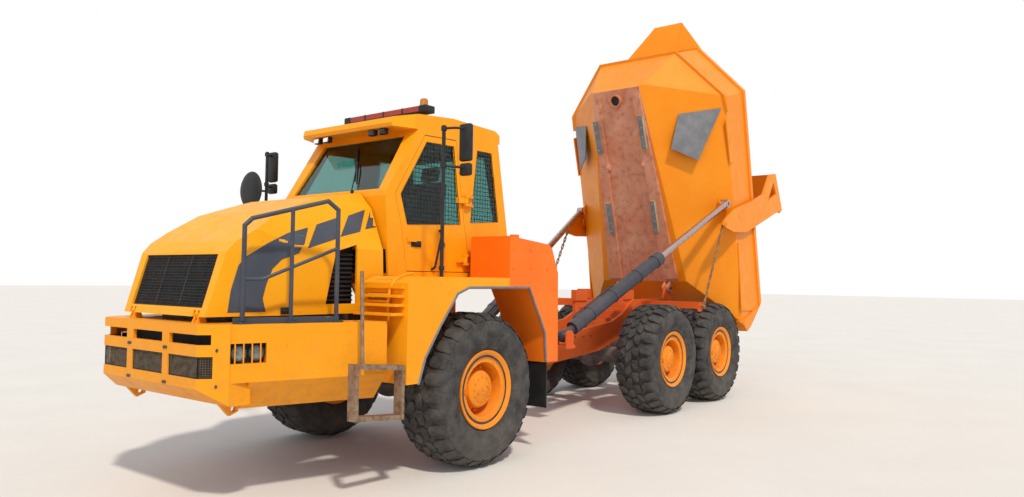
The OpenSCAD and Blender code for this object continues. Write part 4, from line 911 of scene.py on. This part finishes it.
glass, housings = new(), new()
slab(housings, (0.487, 1.46, 3.0), (0.55, 1.6, 3.36), 0.022)
slab(housings, (0.487, 1.465, 2.862), (0.545, 1.595, 2.982), 0.02)
slab(glass, (0.484, 1.472, 3.015), (0.489, 1.588, 3.345), 0.002)
slab(glass, (0.484, 1.477, 2.874), (0.489, 1.583, 2.97), 0.002)
rod(housings, (0.69, 1.4, 1.9003), (0.69, 1.4, 3.33), 0.018, 16)
for z, lift in ((3.3, 0.01), (2.95, -0.01)):
    pipe(housings, smooth_path([(0.69, 1.4, z), (0.62, 1.48, z + lift), (0.54, 1.52, z + lift)], 4), 0.012, 8)
piece("mirror_housings", housings, "front_unit", PLASTIC, ["mirrors"], both=True)
piece("mirror_glasses", glass, "front_unit", BRIGHT, both=True)
clamps = new()
for z in (2.95, 3.3, 2.2, 1.98):
    for s in SIDES.values():
        rod(clamps, (0.69, 1.4 * s, z - 0.02), (0.69, 1.4 * s, z + 0.02), 0.027, 14)
disc = lathe([(0.0, 0.04), (0.12, 0.034), (0.19, 0.018), (0.215, 0.0), (0.208, -0.006), (0.0, -0.008)], 40)
joined(clamps, disc, Matrix.Translation((0.86, -1.45, 2.87)) @ rotated(90, "Y"))
pipe(clamps, [(0.69, -1.4, 2.87), (0.78, -1.42, 2.87), (0.86, -1.45, 2.87)], 0.012, 8)
piece("mirror_fittings", clamps, "front_unit", PLASTIC)

# Inside the cab

base = new()
slab(base, (-0.25, -0.03, 1.93), (0.15, 0.33, 2.03), 0.02)
for k in range(6):
    slab(base, (-0.23 + k * 0.01, -0.02 + k * 0.006, 2.03 + k * 0.032),
         (0.13 - k * 0.01, 0.32 - k * 0.006, 2.058 + k * 0.032), 0.012)
piece("seat_base", base, "front_unit", PLASTIC)
for name, low, high, lean in (
    ("seat_cushion", (-0.27, -0.1, 2.235), (0.25, 0.4, 2.36), 0),
    ("seat_back", (-0.42, -0.1, 2.34), (-0.3, 0.4, 2.98), -9),
    ("seat_headrest", (-0.47, 0.02, 2.985), (-0.385, 0.28, 3.165), -9),
):
    pad = new()
    slab(pad, low, high, 0.045, rotated(lean, "Y"))
    stands_for = ["driver_seat"] if name == "seat_cushion" else ()
    cushion = piece(name, pad, "front_unit", CLOTH, stands_for, angle=60)
controls = new()
slab(controls, (0.5, -0.02, 2.62), (0.6, 0.32, 2.72), 0.02)
slab(controls, (0.55, -0.42, 2.6), (0.6, -0.14, 2.78), 0.01, rotated(-20, "Y"))
slab(controls, (-0.3, -0.2, 2.42), (0.12, -0.12, 2.47), 0.012)
slab(controls, (-0.3, 0.42, 2.42), (0.12, 0.49, 2.47), 0.012)
slab(controls, (-0.3, -0.55, 1.945), (0.25, -0.22, 2.35), 0.03)
rod(controls, (0.05, -0.35, 2.35), (0.08, -0.35, 2.5), 0.009, 8)
bmesh.ops.create_uvsphere(controls, u_segments=14, v_segments=9, radius=0.025,
                          matrix=Matrix.Translation((0.08, -0.35, 2.51)))
for y in (0.02, 0.28):
    slab(controls, (0.46, y - 0.04, 2.03), (0.5, y + 0.04, 2.14), 0.006, rotated(-30, "Y"))
piece("cab_controls", controls, "front_unit", PLASTIC)

# Rear unit

shafts = new()
for a, b in (((-2.2, 0, 0.98), (-3.82, 0, 0.8)), ((-4.5, 0, 0.79), (-5.5, 0, 0.79))):
    a, b = Vector(a), Vector(b)
    rod(shafts, a.lerp(b, 0.06), b.lerp(a, 0.06), 0.055, 20)
    for t in (0.05, 0.95):
        c = a.lerp(b, t)
        slab(shafts, c - Vector((0.05, 0.07, 0.07)), c + Vector((0.05, 0.07, 0.07)), 0.012)
piece("drive_shafts", shafts, "rear_unit", GREY_PAINT)

hoist_low = Vector((-2.31, 0.75, 1.165))
hoist_eye = BED @ Vector((1.25, 1.4, 0.55))
HOIST = aimed(hoist_low, hoist_eye)
pipes = new()
for a, far in ((20, 2.08), (55, 1.2)):
    c, s = math.cos(math.radians(a)), math.sin(math.radians(a))
    pipe(pipes, [(0.095 * c, 0.095 * s, 0.34), (0.118 * c, 0.118 * s, 0.36), (0.118 * c, 0.118 * s, far),
                 (0.094 * c, 0.094 * s, far + 0.03)], 0.011, 8)
for z in (0.6, 1.1, 1.7):
    band = lathe([(0.093, -0.012), (0.1, -0.012), (0.1, 0.012), (0.093, 0.012)], 32)
    joined(pipes, band, Matrix.Translation((0, 0, z)))
joined(pipes, lathe([(0.056, 2.272), (0.09, 2.272), (0.096, 2.278), (0.096, 2.29), (0.056, 2.29)], 32))
bolts(pipes, (0, 0, 2.289), (0, 0, 1), 0.078, 8, 0.009, 0.008)
left = piece("hoist_pipes_left", pipes, "hoist_cylinder_left", HOIST_PAINT,
             place=TO_FRAME @ HOIST)
copied("hoist_pipes_right", left, MIRROR, "hoist_cylinder_right", "dark_enamel")

caps = new()
for s in SIDES.values():
    bolts(caps, (HINGE[0], 0.53 * s, HINGE[2]), (0, s, 0), 0.0, 1, 0.03, 0.012)
for s in SIDES.values():
    row_of_bolts(caps, (-2.6, 0.491 * s, 1.1), (-3.4, 0.491 * s, 1.1), 5, (0, s, 0), 0.014, 0.01)
piece("frame_bolts", caps, "rear_unit", GREY_PAINT)

# Body, in its own frame

IN_BED = TO_FRAME @ BED
pads = new()
# pale strips along each pad's outer side and upper end, with its bolt heads: painted highlight on the pads'
# edges
for u in (0.96, 2.36):
    row_of_bolts(pads, (u + 0.05, 0.42, -0.1), (u + 0.49, 0.42, -0.1), 4, (0, 0, -1), 0.014, 0.002)
    slab(pads, (u - 0.003, 0.452, -0.101), (u + 0.543, 0.4615, -0.046), 0.002)
    slab(pads, (u + 0.532, 0.3785, -0.101), (u + 0.5415, 0.4615, -0.046), 0.002)
piece("pad_ends_painted_highlight", pads, "dump_bed", PAD_HIGHLIGHT, place=IN_BED)
copied("pad_ends_right", bpy.data.objects["pad_ends_painted_highlight"], MIRROR, "dump_bed", "worn_steel")

seams = new()
slab(seams, (1.927, -0.56, -0.004), (1.935, 0.56, 0.001), 0.001)
slab(seams, (0.35, -0.62, -0.004), (0.358, 0.62, 0.001), 0.001)
for s in SIDES.values():
    slab(seams, (2.05, 0.33 * s - 0.03, -0.05), (2.15, 0.33 * s + 0.03, 0.001), 0.006)
    slab(seams, (2.08, 0.33 * s - 0.012, -0.085), (2.12, 0.33 * s + 0.012, -0.04), 0.004)
    slab(seams, (0.2, 0.2 * s - 0.004, -0.005), (1.9, 0.2 * s + 0.004, 0.001), 0.001)
joined(seams, lathe([(0.08, -0.072), (0.098, -0.072), (0.1, -0.066), (0.1, -0.05), (0.094, -0.046)], 36),
       Matrix.Translation((3.18, 0, 0)))
piece("bed_underside_fittings", seams, "dump_bed", BED_PAINT, place=IN_BED)

# a dark disc in the inlet's ring: painted shade for the hole
inlet_shade_disc = lathe([(0.0, -0.028), (0.0795, -0.028), (0.0795, -0.02), (0.0, -0.02)], 32)
piece("exhaust_inlet_shade", inlet_shade_disc, "dump_bed", PLASTIC,
      place=IN_BED @ Matrix.Translation((3.18, 0, 0)))

# Chains

low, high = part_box("tailgate_chains")
foot = Vector((-5.015, 1.473, 1.52))
corners = [Vector((x - SHIFT, 1.473, z)) for x in (low.x, high.x) for z in (low.z, high.z)]
head = max(corners, key=lambda c: (c - foot).length)
CHAIN = aimed(foot, head)
length = (head - foot).length - 0.03
links = new()
count = int(length / 0.074)
for k in range(count):
    link = new()
    # every second link is seen edge on, and kept slim so that it clears the gate's arm
    half, wire = (0.025, 0.0105) if k % 2 == 0 else (0.006, 0.0095)
    ring = []
    for j in range(8):
        a = math.radians(45 * j + 22.5)
        shift = 0.048 - half if math.sin(a) > 0 else half - 0.048
        ring.append(Vector((half * math.cos(a), 0, half * math.sin(a) + shift)))
    for a, b in zip(ring, ring[1:] + ring[:1]):
        rod(link, a, b + (b - a) * 0.08, wire, 6)
    quarter = rotated(90 if k % 2 == 0 else 0, "Z")
    joined(links, link, Matrix.Translation((0, 0, 0.055 + k * length / count)) @ quarter)
eye = lathe([(0.03, -0.014), (0.04, -0.014), (0.04, 0.014), (0.03, 0.014), (0.03, -0.014)], 28)
joined(links, eye, rotated(90, "Y"))
left = piece("chain_links_left", links, "chains", CHAIN_STEEL, ["tailgate_chains"],
             place=TO_FRAME @ CHAIN)
copied("chain_links_right", left, MIRROR, "chains", "worn_steel", ["tailgate_chains"])

# Stage

scene = bpy.context.scene
scene.view_settings.view_transform = "Standard"

floor_shape = new()
bmesh.ops.create_grid(floor_shape, x_segments=1, y_segments=1, size=120)
floor_mesh = bpy.data.meshes.new("floor")
floor_shape.to_mesh(floor_mesh)
floor_shape.free()
floor = bpy.data.objects.new("floor", floor_mesh)
scene.collection.objects.link(floor)
floor_paint, tree, output, place = blank("pale_concrete_floor")
# pale cast floor, a little mottled, with a fine grain
mottle = speckle(tree, place.outputs["Object"], 1.6, 0.3, 0.7)
concrete = blended(tree, mottle, linear("#e4e2de"), linear("#e9e7e3"))
shaded(tree, output, {"Base Color": concrete, "Roughness": 0.85})
floor_mesh.materials.append(floor_paint)

world = bpy.data.worlds.new("studio")
world.use_nodes = True
scene.world = world
tree = world.node_tree
tree.nodes.clear()
rays = add(tree, "ShaderNodeLightPath")
seen = reckoned(tree, "MAXIMUM", rays.outputs["Is Camera Ray"], rays.outputs["Is Glossy Ray"])
seen = reckoned(tree, "MAXIMUM", seen, rays.outputs["Is Transmission Ray"])
soft = add(tree, "ShaderNodeBackground", {"Color": linear("#eef3fa"), "Strength": 0.52})
white = add(tree, "ShaderNodeBackground", {"Color": linear("#ffffff"), "Strength": 1.0})
mixed = add(tree, "ShaderNodeMixShader", {0: seen, 1: soft.outputs[0], 2: white.outputs[0]})
sky = add(tree, "ShaderNodeOutputWorld")
tree.links.new(mixed.outputs[0], sky.inputs[0])


def sun(name, direction, strength, spread, colour):
    """A lamp like the sun that shines from a direction."""
    lamp = bpy.data.lights.new(name, "SUN")
    lamp.energy = strength
    lamp.angle = math.radians(spread)
    lamp.color = linear(colour)[:3]
    obj = bpy.data.objects.new(name, lamp)
    obj.matrix_world = Vector(direction).to_track_quat("Z", "Y").to_matrix().to_4x4()
    scene.collection.objects.link(obj)


sun("key", (0.34, 0.55, 0.76), 2.35, 4, "#fff4e4")
sun("fill", (0.9, 0.25, 0.45), 0.55, 40, "#f2f6ff")

# The camera that was solved from the photograph
yaw, pitch, roll = (math.radians(a) for a in (-142.12, 2.274, 0.787))
ahead = Vector((math.cos(pitch) * math.cos(yaw), math.cos(pitch) * math.sin(yaw), math.sin(pitch)))
level = ahead.cross(Vector((0, 0, 1))).normalized()
upright = level.cross(ahead)
right = math.cos(roll) * level + math.sin(roll) * upright
top = -math.sin(roll) * level + math.cos(roll) * upright
lens_data = bpy.data.cameras.new("camera")
lens_data.lens = 27.26
lens_data.sensor_width = 36
lens_data.clip_end = 400
camera = bpy.data.objects.new("camera", lens_data)
camera.matrix_world = Matrix([(right[i], top[i], -ahead[i], EYE[i]) for i in range(3)] + [(0, 0, 0, 1)])
scene.collection.objects.link(camera)
scene.camera = camera
